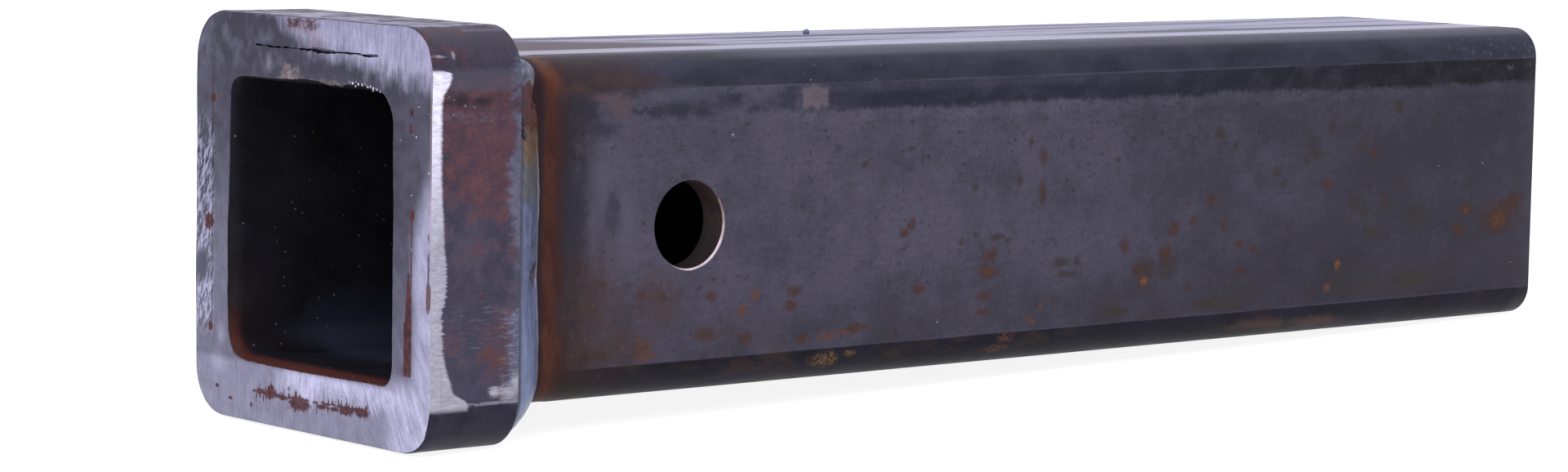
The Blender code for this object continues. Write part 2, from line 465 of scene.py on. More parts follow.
def bead_swell(along, down, y, z):
    """How far the rear bead stands out of its flat face, with its stop, its crater and its pits."""
    belly = 4 * down * (1 - down)
    swell = 0.45 * belly + 0.05 * clouds(along, down * 8, z, 3.0)
    phase = (along - 2.2 * belly) / 2.6
    swell = swell + 0.07 * (np.abs(np.cos(np.pi * phase)) - 0.5) * np.minimum(1.0, 2 * belly)
    near = (y < 0).astype(float)
    swell = swell + 1.0 * near * hump(z, LUMP_Z, 2.0) * belly
    swell = swell - 1.5 * near * hump(z, NOTCH_Z, 2.1) * smooth(down, 0.05, 0.5) * (1 - down)
    swell = swell - 0.7 * near * hump(z, CRATER_Z, 1.9) * hump(down, 0.72, 0.16)
    return swell + 0.3 * near * smooth(-z, 12, 22) * belly


def bead_leg(along, y, z):
    """How far the bead reaches along the tube from the collar."""
    full = WELD_TOE - COLLAR_LENGTH
    wander = 0.45 * np.sin(along / 9.0) + 0.3 * np.sin(along / 3.7 + 1) + 0.25 * ragged(along, 1.6, 12)
    near = (y < 0).astype(float)
    notch = near * hump(z, NOTCH_Z, 2.2)
    wide = near * smooth(-z, 8, 20)
    lean = 0.54 * near * smooth(z, 8, 20) * (1 - notch) + 0.7 * near * smooth(z, 25.4, 27.4)
    hidden = 3.2 * smooth(-y, 14.0, 26.0) * smooth(z, 28.2, 30.6)
    return full - 0.25 + 0.25 * wander - 2.0 * notch + 0.25 * wide - lean - hidden


def weld_piece(material):
    """The fillet bead behind the collar, sunk a little into the tube and the collar."""
    path = Square(BEAD_SIDE_STEPS, BEAD_CORNER_STEPS)
    y, z = path.at(TUBE_HALF, TUBE_CORNER)
    steps = np.hypot(np.diff(y, append=y[0]), np.diff(z, append=z[0]))
    along = np.concatenate([[0], np.cumsum(steps)[:-1]])
    top_half = COLLAR_HALF - 0.75
    top_corner = COLLAR_CORNER - 0.8
    foot_half = TUBE_HALF - SEAT_DEPTH - 0.08
    start = COLLAR_LENGTH - BEAD_SINK
    rows = [(start, *path.at(foot_half - 0.3, TUBE_CORNER))]
    for down in np.linspace(0, 1, BEAD_ROWS + 1):
        half = top_half + (foot_half - top_half) * down
        corner = top_corner + (TUBE_CORNER - top_corner) * down
        leg = bead_leg(along, y, z)
        row_y, row_z = path.at(half, corner)
        slope = np.hypot(leg, top_half - foot_half)
        swell = bead_swell(along, down, y, z)
        sunk = 3.0 * (1 - down) * smooth(-y, 14.0, 26.0) * smooth(z, 27.4, 29.8)
        out = swell * leg / slope - sunk
        x = start + (leg + BEAD_SINK) * down + swell * (top_half - foot_half) / slope
        rows.append((x, row_y + path.out_y * out, row_z + path.out_z * out))
    return ring_mesh("rear_bead", rows, [material], [0] * len(rows))


# Weld spatter as x, y, z and radius in mm. The last drop sits on the tube's top
SPATTER = (
    (20.3, -37.3, 20.9, 0.55),
    (20.6, -37.3, 18.8, 0.75),
    (21.4, -36.6, 17.9, 0.4),
    (24.8, -34.2, 23.5, 0.45),
    (133.1, 16.8, 31.9, 0.7),
)

# Crumbs of metal at the mouth's torn edge
CRUMBS = (
    (0.3, -12.3, 27.2, 0.24), (0.3, -13.2, 27.0, 0.29), (0.3, -14.3, 27.3, 0.21),
    (0.3, -15.0, 26.9, 0.26), (0.3, -16.2, 26.9, 0.3), (0.3, -17.1, 27.1, 0.21),
    (0.3, -17.9, 26.6, 0.27), (0.3, -18.8, 26.7, 0.24), (0.3, -19.7, 26.4, 0.29),
    (0.3, -20.8, 26.3, 0.24), (0.3, -21.7, 26.0, 0.21), (0.5, -13.8, 26.5, 0.22),
    (0.5, -19.2, 26.0, 0.21), (0.6, -6.2, 26.3, 0.18), (0.6, -9.4, 26.2, 0.19),
    (0.42, -28.7, 22.6, 0.19), (0.4, -29.6, 20.4, 0.16),
)


def drops(name, places, material):
    """Small uneven drops of metal that stuck where they landed: middles and radii."""
    mesh = bmesh.new()
    for number, (x, y, z, radius) in enumerate(places):
        place = Matrix.Translation(row_point(x, y, z))
        made = bmesh.ops.create_icosphere(mesh, subdivisions=3, radius=radius * MM, matrix=place)
        middle = row_point(x, y, z)
        for vert in made["verts"]:
            lump = noise.noise(vert.co / (0.6 * MM) + Vector((number, 0, 0)))
            vert.co = middle + (vert.co - middle) * (1 + 0.22 * lump)
    data = bpy.data.meshes.new(name)
    mesh.to_mesh(data)
    mesh.free()
    data.materials.append(material)
    data.shade_smooth()
    return linked(name, data)


# Shader nodes


class Wire:
    """A number that flows between shader nodes. Arithmetic on it adds Math nodes."""

    def __init__(self, sheet, socket):
        self.sheet = sheet
        self.socket = socket

    def __add__(self, other):
        return self.sheet.math("ADD", self, other)

    def __sub__(self, other):
        return self.sheet.math("SUBTRACT", self, other)

    def __rsub__(self, other):
        return self.sheet.math("SUBTRACT", other, self)

    def __mul__(self, other):
        return self.sheet.math("MULTIPLY", self, other)

    def __truediv__(self, other):
        return self.sheet.math("DIVIDE", self, other)

    __radd__ = __add__
    __rmul__ = __mul__


class Sheet:
    """One material's nodes, with places in mm in the tube's own frame."""

    def __init__(self, name):
        self.material = bpy.data.materials.new(name)
        self.material.use_nodes = True
        self.tree = self.material.node_tree
        self.shader = self.tree.nodes["Principled BSDF"]
        shift = self.add("ShaderNodeVectorMath", operation="SUBTRACT")
        self.tree.links.new(self.add("ShaderNodeTexCoord").outputs["Object"], shift.inputs[0])
        shift.inputs[1].default_value = (MOUTH_X, 0, AXIS_Z)
        scale = self.add("ShaderNodeVectorMath", operation="MULTIPLY")
        self.tree.links.new(shift.outputs[0], scale.inputs[0])
        scale.inputs[1].default_value = (1 / MM, 1 / MM, 1 / MM)
        self.place = scale.outputs[0]
        parts = self.add("ShaderNodeSeparateXYZ")
        self.tree.links.new(self.place, parts.inputs[0])
        self.x, self.y, self.z = (Wire(self, out) for out in parts.outputs)
        facing = self.add("ShaderNodeSeparateXYZ")
        self.tree.links.new(self.add("ShaderNodeNewGeometry").outputs["Normal"], facing.inputs[0])
        self.out_z = Wire(self, facing.outputs[2])
        self.colour = None

    def add(self, kind, **settings):
        """A new node with these settings."""
        node = self.tree.nodes.new(kind)
        for name, value in settings.items():
            setattr(node, name, value)
        return node

    def feed(self, socket, value):
        """Gives an input a number or a colour, or joins another node's output to it."""
        if isinstance(value, Wire):
            self.tree.links.new(value.socket, socket)
        elif isinstance(value, bpy.types.NodeSocket):
            self.tree.links.new(value, socket)
        elif isinstance(value, tuple) and len(value) == 3 and socket.type == "RGBA":
            socket.default_value = (*value, 1.0)
        else:
            socket.default_value = value

    def math(self, operation, first, second=None):
        """The result of a Math node."""
        node = self.add("ShaderNodeMath", operation=operation)
        for socket, value in zip(node.inputs, (first, second)):
            if value is not None:
                self.feed(socket, value)
        return Wire(self, node.outputs[0])

    def most(self, first, *others):
        """The greatest of the numbers."""
        for other in others:
            first = self.math("MAXIMUM", first, other)
        return first

    def least(self, first, second):
        """The smaller of two numbers."""
        return self.math("MINIMUM", first, second)

    def size_of(self, value):
        """A number without its sign."""
        return self.math("ABSOLUTE", value)

    def rise(self, value, low, high):
        """0 at low, 1 at high, with an even curve between. low may be the greater of the two."""
        node = self.add("ShaderNodeMapRange", interpolation_type="SMOOTHSTEP")
        self.feed(node.inputs["Value"], value)
        turned = low > high
        node.inputs["From Min"].default_value = high if turned else low
        node.inputs["From Max"].default_value = low if turned else high
        node.inputs["To Min"].default_value = 1.0 if turned else 0.0
        node.inputs["To Max"].default_value = 0.0 if turned else 1.0
        return Wire(self, node.outputs[0])

    def blend(self, share, first, second):
        """first where share is 0 and second where it is 1, as numbers."""
        return first + (second - first) * share

    def between(self, value, low, high, soft):
        """1 between low and high, fading to 0 over soft on either side."""
        return self.rise(value, low - soft, low) * self.rise(value, high + soft, high)

    def placed(self, place, factor, shift):
        """A place times a factor, plus a shift."""
        node = self.add("ShaderNodeVectorMath", operation="MULTIPLY_ADD")
        self.feed(node.inputs[0], place)
        node.inputs[1].default_value = factor
        node.inputs[2].default_value = shift
        return node.outputs[0]

    def grain(self, size, detail=3.0, rough=0.55, stretch=(1, 1, 1), seed=0.0, place=None):
        """Noise between 0 and 1 whose lumps are about size mm across, longer where stretched."""
        node = self.add("ShaderNodeTexNoise")
        node.inputs["Scale"].default_value = 1.0
        node.inputs["Detail"].default_value = detail
        node.inputs["Roughness"].default_value = rough
        factor = tuple(1 / (size * part) for part in stretch)
        shift = (seed * 13.7, seed * 7.1, seed * 3.3)
        self.feed(node.inputs["Vector"], self.placed(place or self.place, factor, shift))
        return Wire(self, node.outputs["Fac"])

    def specks(self, size, radius, kept, seed=0.0):
        """Round specks, one in each cell of about size mm, in the given share of the cells."""
        node = self.add("ShaderNodeTexVoronoi")
        node.inputs["Scale"].default_value = 1.0
        shift = (seed * 5.3, seed * 11.9, seed * 2.7)
        self.feed(node.inputs["Vector"], self.placed(self.place, (1 / size, 1 / size, 1 / size), shift))
        colour = self.add("ShaderNodeSeparateColor")
        self.feed(colour.inputs[0], node.outputs["Color"])
        chosen = self.rise(Wire(self, colour.outputs[0]), 1 - kept, 1 - kept + 0.02)
        width = Wire(self, colour.outputs[1]) * 0.7 + 0.3
        near = 1 - Wire(self, node.outputs["Distance"]) / (width * (radius / size))
        return self.rise(near, 0.0, 0.35) * chosen

    def side(self):
        """The plane of the tube's sides, x and z."""
        return self.vector(self.x, self.z, 0.0)

    def front(self):
        """The plane of the face, y and z."""
        return self.vector(self.y, self.z, 0.0)

    def vector(self, x, y, z):
        """Three numbers joined to a place."""
        node = self.add("ShaderNodeCombineXYZ")
        for socket, value in zip(node.inputs, (x, y, z)):
            self.feed(socket, value)
        return node.outputs[0]

    def mix(self, share, first, second):
        """first where share is 0 and second where it is 1, as colours."""
        node = self.add("ShaderNodeMix", data_type="RGBA", clamp_factor=True)
        self.feed(node.inputs[0], share)
        self.feed(node.inputs[6], first)
        self.feed(node.inputs[7], second)
        return node.outputs[2]

    def scaled(self, colour, factor):
        """A colour times a number."""
        node = self.add("ShaderNodeVectorMath", operation="SCALE")
        self.feed(node.inputs[0], colour)
        self.feed(node.inputs["Scale"], factor)
        return node.outputs[0]

    def coat(self, share, tint):
        """Lays a tint over the colour so far, as thick as share says."""
        self.colour = self.mix(share, self.colour, tint)

    def shade(self, factor):
        """Makes the colour so far lighter or darker."""
        self.colour = self.scaled(self.colour, factor)

    def vary(self, *noises):
        """A factor about 1 that each noise between 0 and 1 sways by its amount."""
        factor = 1
        for value, amount in noises:
            factor = factor + (value - 0.5) * amount
        return factor

    def patches(self, plane, spots, edge, torn=1.4, outer=1.15, inner=0.5):
        """1 inside any of the spots: middle, width and height in the plane, with broken edges."""
        nearest = None
        for across, up, width, height in spots:
            shift = (-2 * across / width, -2 * up / height, 0)
            # The point comes before its reach: in the other order the tube's scale renders black
            point = self.placed(plane, (2 / width, 2 / height, 0), shift)
            reach = self.add("ShaderNodeVectorMath", operation="LENGTH")
            self.feed(reach.inputs[0], point)
            reach = Wire(self, reach.outputs["Value"])
            nearest = reach if nearest is None else self.least(nearest, reach)
        return self.rise(nearest + (edge - 0.5) * torn, outer, inner)

    def finish(self, rough, metal, height=None, depth=0.1, shine=0.5):
        """Joins the results to the shader. depth is the height's full range in mm."""
        self.feed(self.shader.inputs["Base Color"], self.colour)
        self.feed(self.shader.inputs["Roughness"], rough)
        self.feed(self.shader.inputs["Metallic"], metal)
        self.shader.inputs["Specular IOR Level"].default_value = shine
        if height is not None:
            bump = self.add("ShaderNodeBump")
            bump.inputs["Strength"].default_value = 1.0
            bump.inputs["Distance"].default_value = depth * MM
            self.feed(bump.inputs["Height"], height)
            self.feed(self.shader.inputs["Normal"], bump.outputs[0])
        return self.material


# Materials

SCALE_LIGHT = (0.056, 0.051, 0.076)
SCALE_GREY = (0.038, 0.035, 0.05)
BAND_NAVY = (0.012, 0.013, 0.0245)
BAND_BLACK = (0.0048, 0.0044, 0.008)
ARC_UPPER = (0.0225, 0.0218, 0.035)
ARC_LOWER_SHADE = (0.006, 0.0055, 0.012)
PIT_BROWN = (0.02, 0.016, 0.016)
RUST_OLIVE = (0.027, 0.02, 0.016)
RUST_BROWN = (0.046, 0.0215, 0.015)
RUST_ORANGE = (0.092, 0.036, 0.016)
RUST_YELLOW = (0.13, 0.068, 0.022)
HEAT_DARK = (0.0125, 0.009, 0.0105)
TOE_DARK = (0.018, 0.007, 0.008)
TOE_RED = (0.038, 0.0105, 0.0072)
TOE_ORANGE = (0.096, 0.028, 0.011)

# Spots on the near side, as x and z of the middle, width and height
OLIVE_SPOTS = (
    (57.4, -13.4, 2.0, 1.8), (52.6, 0.8, 1.4, 1.3), (69.6, -10.6, 1.5, 1.1),
    (106.8, 9.5, 1.8, 1.6), (118.9, 12.0, 2.2, 1.8), (136.2, 3.8, 2.2, 2.0),
    (151.1, 12.3, 2.0, 2.2), (142.4, -6.3, 4.6, 1.7), (145.0, -7.2, 2.2, 1.4),
    (136.2, -5.7, 1.9, 1.6), (159.6, -12.2, 6.0, 2.4), (161.3, -14.8, 5.0, 2.2),
    (164.4, -12.4, 2.0, 3.0), (154.5, 0.9, 2.2, 3.6), (148.0, 4.6, 2.0, 3.0),
    (175.2, 7.7, 1.8, 1.6), (171.0, 9.0, 1.5, 1.2), (184.0, -15.0, 8.0, 6.0),
    (176.1, -23.2, 8.0, 3.6), (204.8, 12.0, 3.6, 2.6), (209.5, 9.4, 1.8, 2.4),
    (222.4, 3.3, 2.6, 2.2), (224.0, 0.8, 2.0, 2.2), (233.0, 9.0, 3.0, 2.4),
    (234.4, 6.7, 4.0, 3.2), (231.5, 5.2, 2.2, 2.4), (239.0, 12.0, 2.4, 3.4),
    (248.0, 7.6, 3.6, 2.4), (252.4, 8.6, 1.8, 1.8), (259.7, 15.9, 4.4, 3.4),
    (249.8, -6.2, 4.2, 2.8), (256.8, -4.8, 4.2, 4.2), (252.0, -10.5, 5.2, 3.2),
    (267.0, -8.2, 5.0, 4.0), (246.0, -4.0, 2.4, 3.6), (262.0, -1.0, 2.0, 1.8),
    (197.0, -19.5, 3.6, 2.8), (190.0, -14.5, 6.5, 6.0), (265.0, -21.8, 13.0, 5.5),
    (204.0, -23.4, 16.0, 3.6),
)
BROWN_SPOTS = (
    (52.4, -12.4, 2.2, 1.8), (69.0, -13.8, 3.6, 2.6), (43.3, -9.9, 2.4, 2.0),
    (37.2, -7.0, 3.0, 4.6), (41.9, -23.2, 7.0, 2.8), (89.6, -14.2, 4.0, 2.4),
    (88.6, -16.8, 4.2, 2.8), (77.6, -22.2, 4.6, 2.4), (67.5, -21.0, 6.0, 3.0),
    (91.8, -23.2, 4.0, 2.4), (105.5, -22.2, 7.4, 2.4), (119.3, -2.6, 2.4, 2.6),
    (117.5, -4.4, 3.0, 2.2), (132.5, -6.8, 2.0, 1.7), (140.3, -9.9, 5.0, 4.2),
    (139.9, -12.9, 6.4, 3.2), (121.7, -15.5, 4.2, 2.6), (138.7, -17.9, 4.2, 2.6),
    (138.6, -21.0, 3.2, 1.6), (154.4, 9.2, 3.2, 4.6), (154.5, 2.4, 2.4, 3.8),
    (181.7, -14.9, 4.4, 3.0), (183.4, -17.6, 4.8, 3.4), (178.0, -10.0, 3.0, 4.4),
    (192.2, -7.3, 3.8, 3.4), (189.7, -11.8, 4.2, 4.0), (202.8, -1.8, 3.6, 3.4),
    (196.1, -2.2, 2.2, 2.0), (197.9, -5.8, 3.0, 2.8), (206.7, -7.1, 2.6, 2.6),
    (211.2, -11.1, 3.6, 2.6), (215.7, -12.6, 3.2, 2.2), (212.4, -17.1, 2.6, 2.4),
    (252.2, 6.0, 3.0, 2.4), (237.9, 0.1, 3.6, 3.4), (282.8, -7.2, 4.0, 4.0),
    (280.8, -11.4, 5.0, 3.2), (294.0, -9.6, 14.0, 9.0), (298.5, -6.2, 6.5, 5.4),
    (241.6, -17.4, 2.6, 3.0),
)
ORANGE_SPOTS = (
    (53.3, -22.4, 5.0, 5.2), (53.6, -24.0, 7.0, 2.6), (79.6, -14.0, 3.4, 4.0),
    (76.8, -16.9, 2.8, 3.4), (98.4, -23.2, 6.4, 2.6), (102.6, -22.6, 3.6, 1.6),
    (140.0, -12.9, 3.0, 1.8), (183.6, -17.4, 3.0, 2.2), (151.8, -23.4, 2.4, 2.0),
    (154.6, -20.6, 1.6, 3.0), (241.6, -17.4, 1.8, 2.4), (238.7, -21.7, 2.4, 1.8),
    (293.6, -10.0, 6.0, 4.0), (282.6, -7.4, 2.2, 2.2),
)
LOWER_ARC_SPOTS = (
    (98.0, -27.6, 9.0, 3.4),
    (104.0, -26.8, 5.0, 1.8),
    (145.0, -26.6, 5.6, 2.6),
    (143.0, -28.6, 9.0, 2.4),
)


def toe_distance(s):
    """How far a point of the tube lies behind the weld's toe, with some wander."""
    lean = (s.grain(8, 3, 0.6, (3, 1, 1), seed=15) - 0.5) * 2.4
    return s.x - (WELD_TOE - 0.4) + lean


def flat_scale(s):
    """The scale's colour, clouded, with painted shade that makes it a little darker towards the tail, and a
    little darker towards the bottom.
    """
    broad = s.grain(26, 3, 0.6, (1.6, 1, 1), seed=1)
    middle = s.grain(5.5, 5, 0.66, seed=2)
    cloud = s.grain(11, 3, 0.6, (1.4, 1, 1), seed=16)
    fine = s.grain(0.9, 3, 0.6, seed=3)
    drawn = s.grain(0.7, 3, 0.6, (7, 1, 1), seed=4)
    light = s.patches(s.side(), ((170.0, 8.0, 46.0, 20.0), (118.0, 0.0, 40.0, 24.0)), cloud, 1.5, 1.5, 0.2)
    shade = broad * 0.3 + middle * 0.38 + cloud * 0.32 + light * 0.035
    s.colour = s.mix(s.rise(shade, 0.4, 0.6), SCALE_GREY, SCALE_LIGHT)
    tone = s.vary((fine, 0.62), (drawn, 0.4))
    # The fall towards the tail is painted shade; the scale is also made darker towards the bottom.
    tone = tone * (1 - s.rise(s.x, 120, 270) * 0.38) * (1 - s.rise(s.z, -6, -24) * 0.22)
    s.shade(tone)
    return middle, fine


def dark_stripe(s, near):
    """The blue-black stripe that the mill left along the top of each side, just below the arc."""
    tick = s.grain(0.8, 4, 0.75, (1, 2.2, 2.2), seed=5)
    sway = s.grain(7, 3, 0.7, (1.6, 1, 1), seed=17)
    lower = 20.2 + (tick - 0.5) * 2.6 + (sway - 0.5) * 3.0
    body = s.rise(s.z - lower, -0.5, 0.7) * s.rise(s.z, 25.8, 25.1)
    wander = (s.grain(6, 4, 0.66, (1.6, 1, 1), seed=6) - 0.5) * 60
    shown = s.rise(s.x + wander, 78, 104)
    early = s.rise(s.grain(4, 4, 0.7, (2.2, 1, 1), seed=26), 0.46, 0.6) * s.rise(s.x, 36, 52) * (1 - shown)
    halo = s.between(s.z - lower, -1.8, -0.5, 0.9) * shown
    s.shade(1 + halo * tick * 0.34)
    tone = s.mix(s.rise(s.x, 150, 285), BAND_NAVY, BAND_BLACK)
    pale = s.rise(s.z + wander * 0.04, 22.9, 24.4) * s.rise(s.x, 225, 150) * 0.35
    mottle = s.rise(s.grain(4, 5, 0.7, (1.6, 1, 1), seed=7), 0.42, 0.66) * 0.34
    depth = body * (shown * (0.98 - pale - mottle) + early * 0.62)
    s.coat(depth * near, tone)


def corner_arcs(s, arc, upper, middle, fine):
    """The rounded corners: grey above, and nearly black below, where the near black is painted shade on the
    corners that face down, with a thin line where they begin.
    """
    cloud = s.grain(7, 4, 0.65, (2.2, 1, 1), seed=27)
    above = s.scaled(ARC_UPPER, s.vary((fine, 0.5), (middle, 0.8), (cloud, 1.6)))
    # Painted shade: the lower corners are painted far darker than the upper ones, where they face down.
    below = s.scaled(ARC_LOWER_SHADE, s.vary((fine, 0.6), (middle, 1.4), (cloud, 2.2)))
    s.coat(arc, s.mix(upper, below, above))
    long = s.grain(13, 3, 0.6, (2, 1, 1), seed=21)
    thread = s.between(s.size_of(s.z), 25.35, 25.55, 0.16) * s.rise(long, 0.44, 0.6)
    s.coat(thread * s.rise(s.x, 50, 90) * 0.24, (0.075, 0.075, 0.105))
    scratch = s.rise(s.grain(0.8, 3, 0.7, (1.6, 1, 2.4), seed=28), 0.56, 0.68) * s.rise(s.x, 262, 292)
    scratch = scratch * s.between(s.z, 23.5, 29.5, 1.0)
    s.coat(scratch * 0.45, (0.1, 0.1, 0.13))


def weld_heat(s, near):
    """The tube beside the rear weld: a red band at the toe, then scorched and stained scale."""
    side = s.side()
    edge = s.grain(2.6, 5, 0.7, seed=22)
    small = s.grain(0.9, 3, 0.65, seed=23)
    swirl = s.grain(3.6, 4, 0.62, (1, 1, 3), seed=24)
    far = toe_distance(s)
    scorch = s.rise(far + (edge - 0.5) * 12 + (swirl - 0.5) * 12, 17, 5)
    s.coat(scorch * 0.85, s.scaled(HEAT_DARK, 0.5 + small))
    light = ((43.5, 8.5, 8.0, 13.0), (47.5, 2.0, 7.0, 18.0), (41.0, 1.0, 3.0, 14.0), (60.0, 24.3, 26.0, 3.4))
    lift = s.patches(side, light, edge * 0.4 + swirl * 0.6, 3.0, 1.6, 0.1) * near
    s.coat(lift * (0.15 + swirl * 0.85), (0.066, 0.063, 0.092))
    dark = ((39.6, 22.0, 6.0, 5.0), (43.5, 18.4, 8.0, 3.4), (45.6, 2.5, 3.6, 10.0), (60.5, 21.6, 6.0, 3.4))
    dark = dark + ((66.0, 21.0, 5.0, 3.0), (73.0, 22.6, 9.0, 3.0), (36.5, 4.0, 6.0, 22.0))
    s.coat(s.patches(side, dark, edge, 3.0, 1.5, 0.2) * near * 0.66, (0.018, 0.018, 0.03))
    pink = s.patches(side, ((47.2, 22.4, 6.0, 5.4), (44.0, 24.6, 9.0, 2.4)), edge, 2.2, 1.2, 0.5)
    s.coat(pink * near * 0.5, (0.08, 0.047, 0.048))
    plate = s.between(s.x + (small - 0.5) * 3, 91.6, 96.6, 1.5)
    plate = plate * s.between(s.z + (edge - 0.5) * 4, 21.6, 24.2, 1.3)
    s.coat(plate * near * (0.2 + edge * 0.7), (0.125, 0.098, 0.112))

    brown = ((41.0, -14.0, 18.0, 24.0), (37.0, -22.0, 14.0, 9.0))
    brown = brown + ((48.0, -21.0, 12.0, 9.0), (56.0, -14.0, 16.0, 14.0))
    stain = s.patches(side, brown, edge * 0.6 + small * 0.4, 3.6, 1.5, 0.1) * near
    s.coat(stain * s.rise(edge * 0.6 + small * 0.4, 0.34, 0.6) * 0.85, (0.044, 0.023, 0.018))
    flecks = s.specks(1.7, 0.8, 0.36, seed=9) * s.rise(small, 0.36, 0.56)
    s.coat(stain * flecks * 0.6, (0.095, 0.04, 0.02))

    arc = s.rise(s.z + (edge - 0.5) * 8, 23.6, 26.6)
    shade = s.mix(small, (0.013, 0.01, 0.013), (0.04, 0.026, 0.028))
    s.coat(arc * s.rise(far + (edge - 0.5) * 26, 34, 14) * 0.85, shade)
    glow = s.patches(side, ((48.0, 27.2, 16.0, 3.6), (37.0, 26.0, 8.0, 2.4)), edge, 2.4, 1.4, 0.2) * near
    s.coat(glow * 0.6, (0.05, 0.027, 0.024))
    under = s.rise(s.z, -25.0, -26.5) * s.rise(far + (edge - 0.5) * 24, 40, 8) * s.rise(edge, 0.36, 0.56)
    s.coat(under * 0.6, (0.022, 0.012, 0.01))

    # The red band is brightest in its middle and dies out unevenly on the tube's side
    long = s.grain(3.2, 4, 0.66, (1, 1, 2.6), seed=18)
    red = s.rise(far, 0.2, 1.8) * s.rise(far + (long - 0.5) * 8 + (edge - 0.5) * 3, 7.4, 2.4)
    core = s.between(far + (long - 0.5) * 3, 2.2, 3.2, 1.6)
    low = s.rise(s.z, -12, -20) * s.rise(s.z, -26, -23) * 0.4
    bright = s.most(low, core * 0.22) * s.rise(long, 0.36, 0.56)
    toned = s.scaled(s.mix(bright, TOE_RED, TOE_ORANGE), 0.35 + long * 1.0 + small * 0.3)
    s.coat(red * (0.66 + small * 0.5), toned)
    bar = s.vector(s.x + (s.z - 29.0) * 0.38, s.z, 0.0)
    stroke = s.patches(bar, ((31.3, 29.0, 3.8, 9.0),), edge * 0.6 + long * 0.4, 2.2, 1.5, 0.0) * near
    s.coat(stroke * (0.32 + small * 0.8), (0.082, 0.03, 0.015))
    s.coat(s.rise(far, 1.5, 0.2) * 0.9, TOE_DARK)


def rust_and_specks(s, near, arc, upper):
    """Pits, stains and rust on the sides, and how strongly a point is rusted."""
    side = s.side()
    small = s.grain(0.75, 3, 0.68, seed=10)
    edge = s.grain(1.5, 5, 0.74, seed=9)
    lump = s.grain(3.4, 4, 0.68, seed=25)
    high = s.between(s.z, 11, 18.5, 3.0) * s.rise(s.x, 96, 120) * 0.5
    cluster = s.rise(s.grain(12, 3, 0.6, seed=8) + high * 0.3, 0.5, 0.66)
    pits = s.most(s.specks(2.3, 0.85, 0.42, seed=1) * cluster, s.specks(1.2, 0.34, 0.3, seed=2) * cluster)
    spread = s.rise(s.grain(16, 2, 0.5, seed=29) + high * 0.34, 0.4, 0.62)
    torn = s.rise(s.grain(1.6, 3, 0.7, (1.3, 1, 1), seed=47), 0.585, 0.66) * (0.25 + spread * 0.75)
    pits = s.most(pits, s.specks(4.8, 1.25, 0.34, seed=3) * 0.7, s.rise(edge, 0.57, 0.68) * cluster, torn)
    s.coat(pits * (1 - arc) * (0.2 + small * 0.7), PIT_BROWN)

    flat = near * (1 - arc)
    grainy = lump * 0.42 + edge * 0.36 + small * 0.22
    olive = s.patches(side, OLIVE_SPOTS, grainy, 4.4, 1.25, 0.3) * flat
    brown = s.patches(side, BROWN_SPOTS, grainy, 4.4, 1.25, 0.3) * flat
    orange = s.patches(side, ORANGE_SPOTS, grainy, 4.0, 1.15, 0.3) * flat
    s.coat(olive * (0.3 + small * 0.9), RUST_OLIVE)
    s.coat(brown * (0.2 + small * 1.1), RUST_BROWN)
    s.coat(orange * s.rise(small, 0.32, 0.62) * 0.9, RUST_ORANGE)
    glints = ((241.6, -17.2, 1.8, 3.0), (238.7, -22.0, 2.2, 1.8), (183.8, -17.6, 2.6, 2.2))
    hot = s.patches(side, glints, edge * 0.6 + small * 0.4, 6.0, 1.2, 0.1)
    s.coat(hot * flat * 0.55, (0.15, 0.062, 0.036))

    # The sides that the photograph doesn't show carry the same kind of rust
    stray = s.rise(s.grain(5.5, 4, 0.64, seed=11), 0.6, 0.72)
    stray = stray * s.rise(s.grain(24, 2, 0.5, seed=12), 0.46, 0.6)
    stray = stray * (1 - near) * s.rise(s.out_z, 0.85, 0.55) * s.rise(s.x, 34, 60)
    s.coat(stray * (0.25 + small), RUST_BROWN)

    # Brown and yellow tints along the lower edge and the lower corner
    low = s.rise(s.z, -14, -25) * s.rise(s.size_of(s.y), 20, 26)
    damp = s.rise(s.grain(10, 4, 0.66, (2.2, 1, 1), seed=13), 0.46, 0.66)
    s.coat(low * damp * (1 - arc) * 0.45, (0.034, 0.024, 0.02))
    stain = s.rise(s.grain(8, 4, 0.7, (2.6, 1, 1), seed=14), 0.53, 0.66) * arc * (1 - upper)
    s.coat(stain * (0.15 + small * 0.6), (0.034, 0.018, 0.013))
    smear = s.patches(side, ((219.0, -28.6, 22.0, 2.6), (236.0, -29.2, 20.0, 3.0)), grainy, 4.0, 1.3, 0.1)
    s.coat(smear * near * arc * (0.3 + small * 0.7), (0.062, 0.034, 0.026))
    yellow = s.patches(side, LOWER_ARC_SPOTS, grainy, 4.0, 1.1, 0.3) * near * s.rise(small, 0.36, 0.62)
    s.coat(yellow * 0.75, s.mix(s.rise(s.x, 118, 122), RUST_YELLOW, RUST_ORANGE))
    return s.most(brown, orange, stray), pits, small


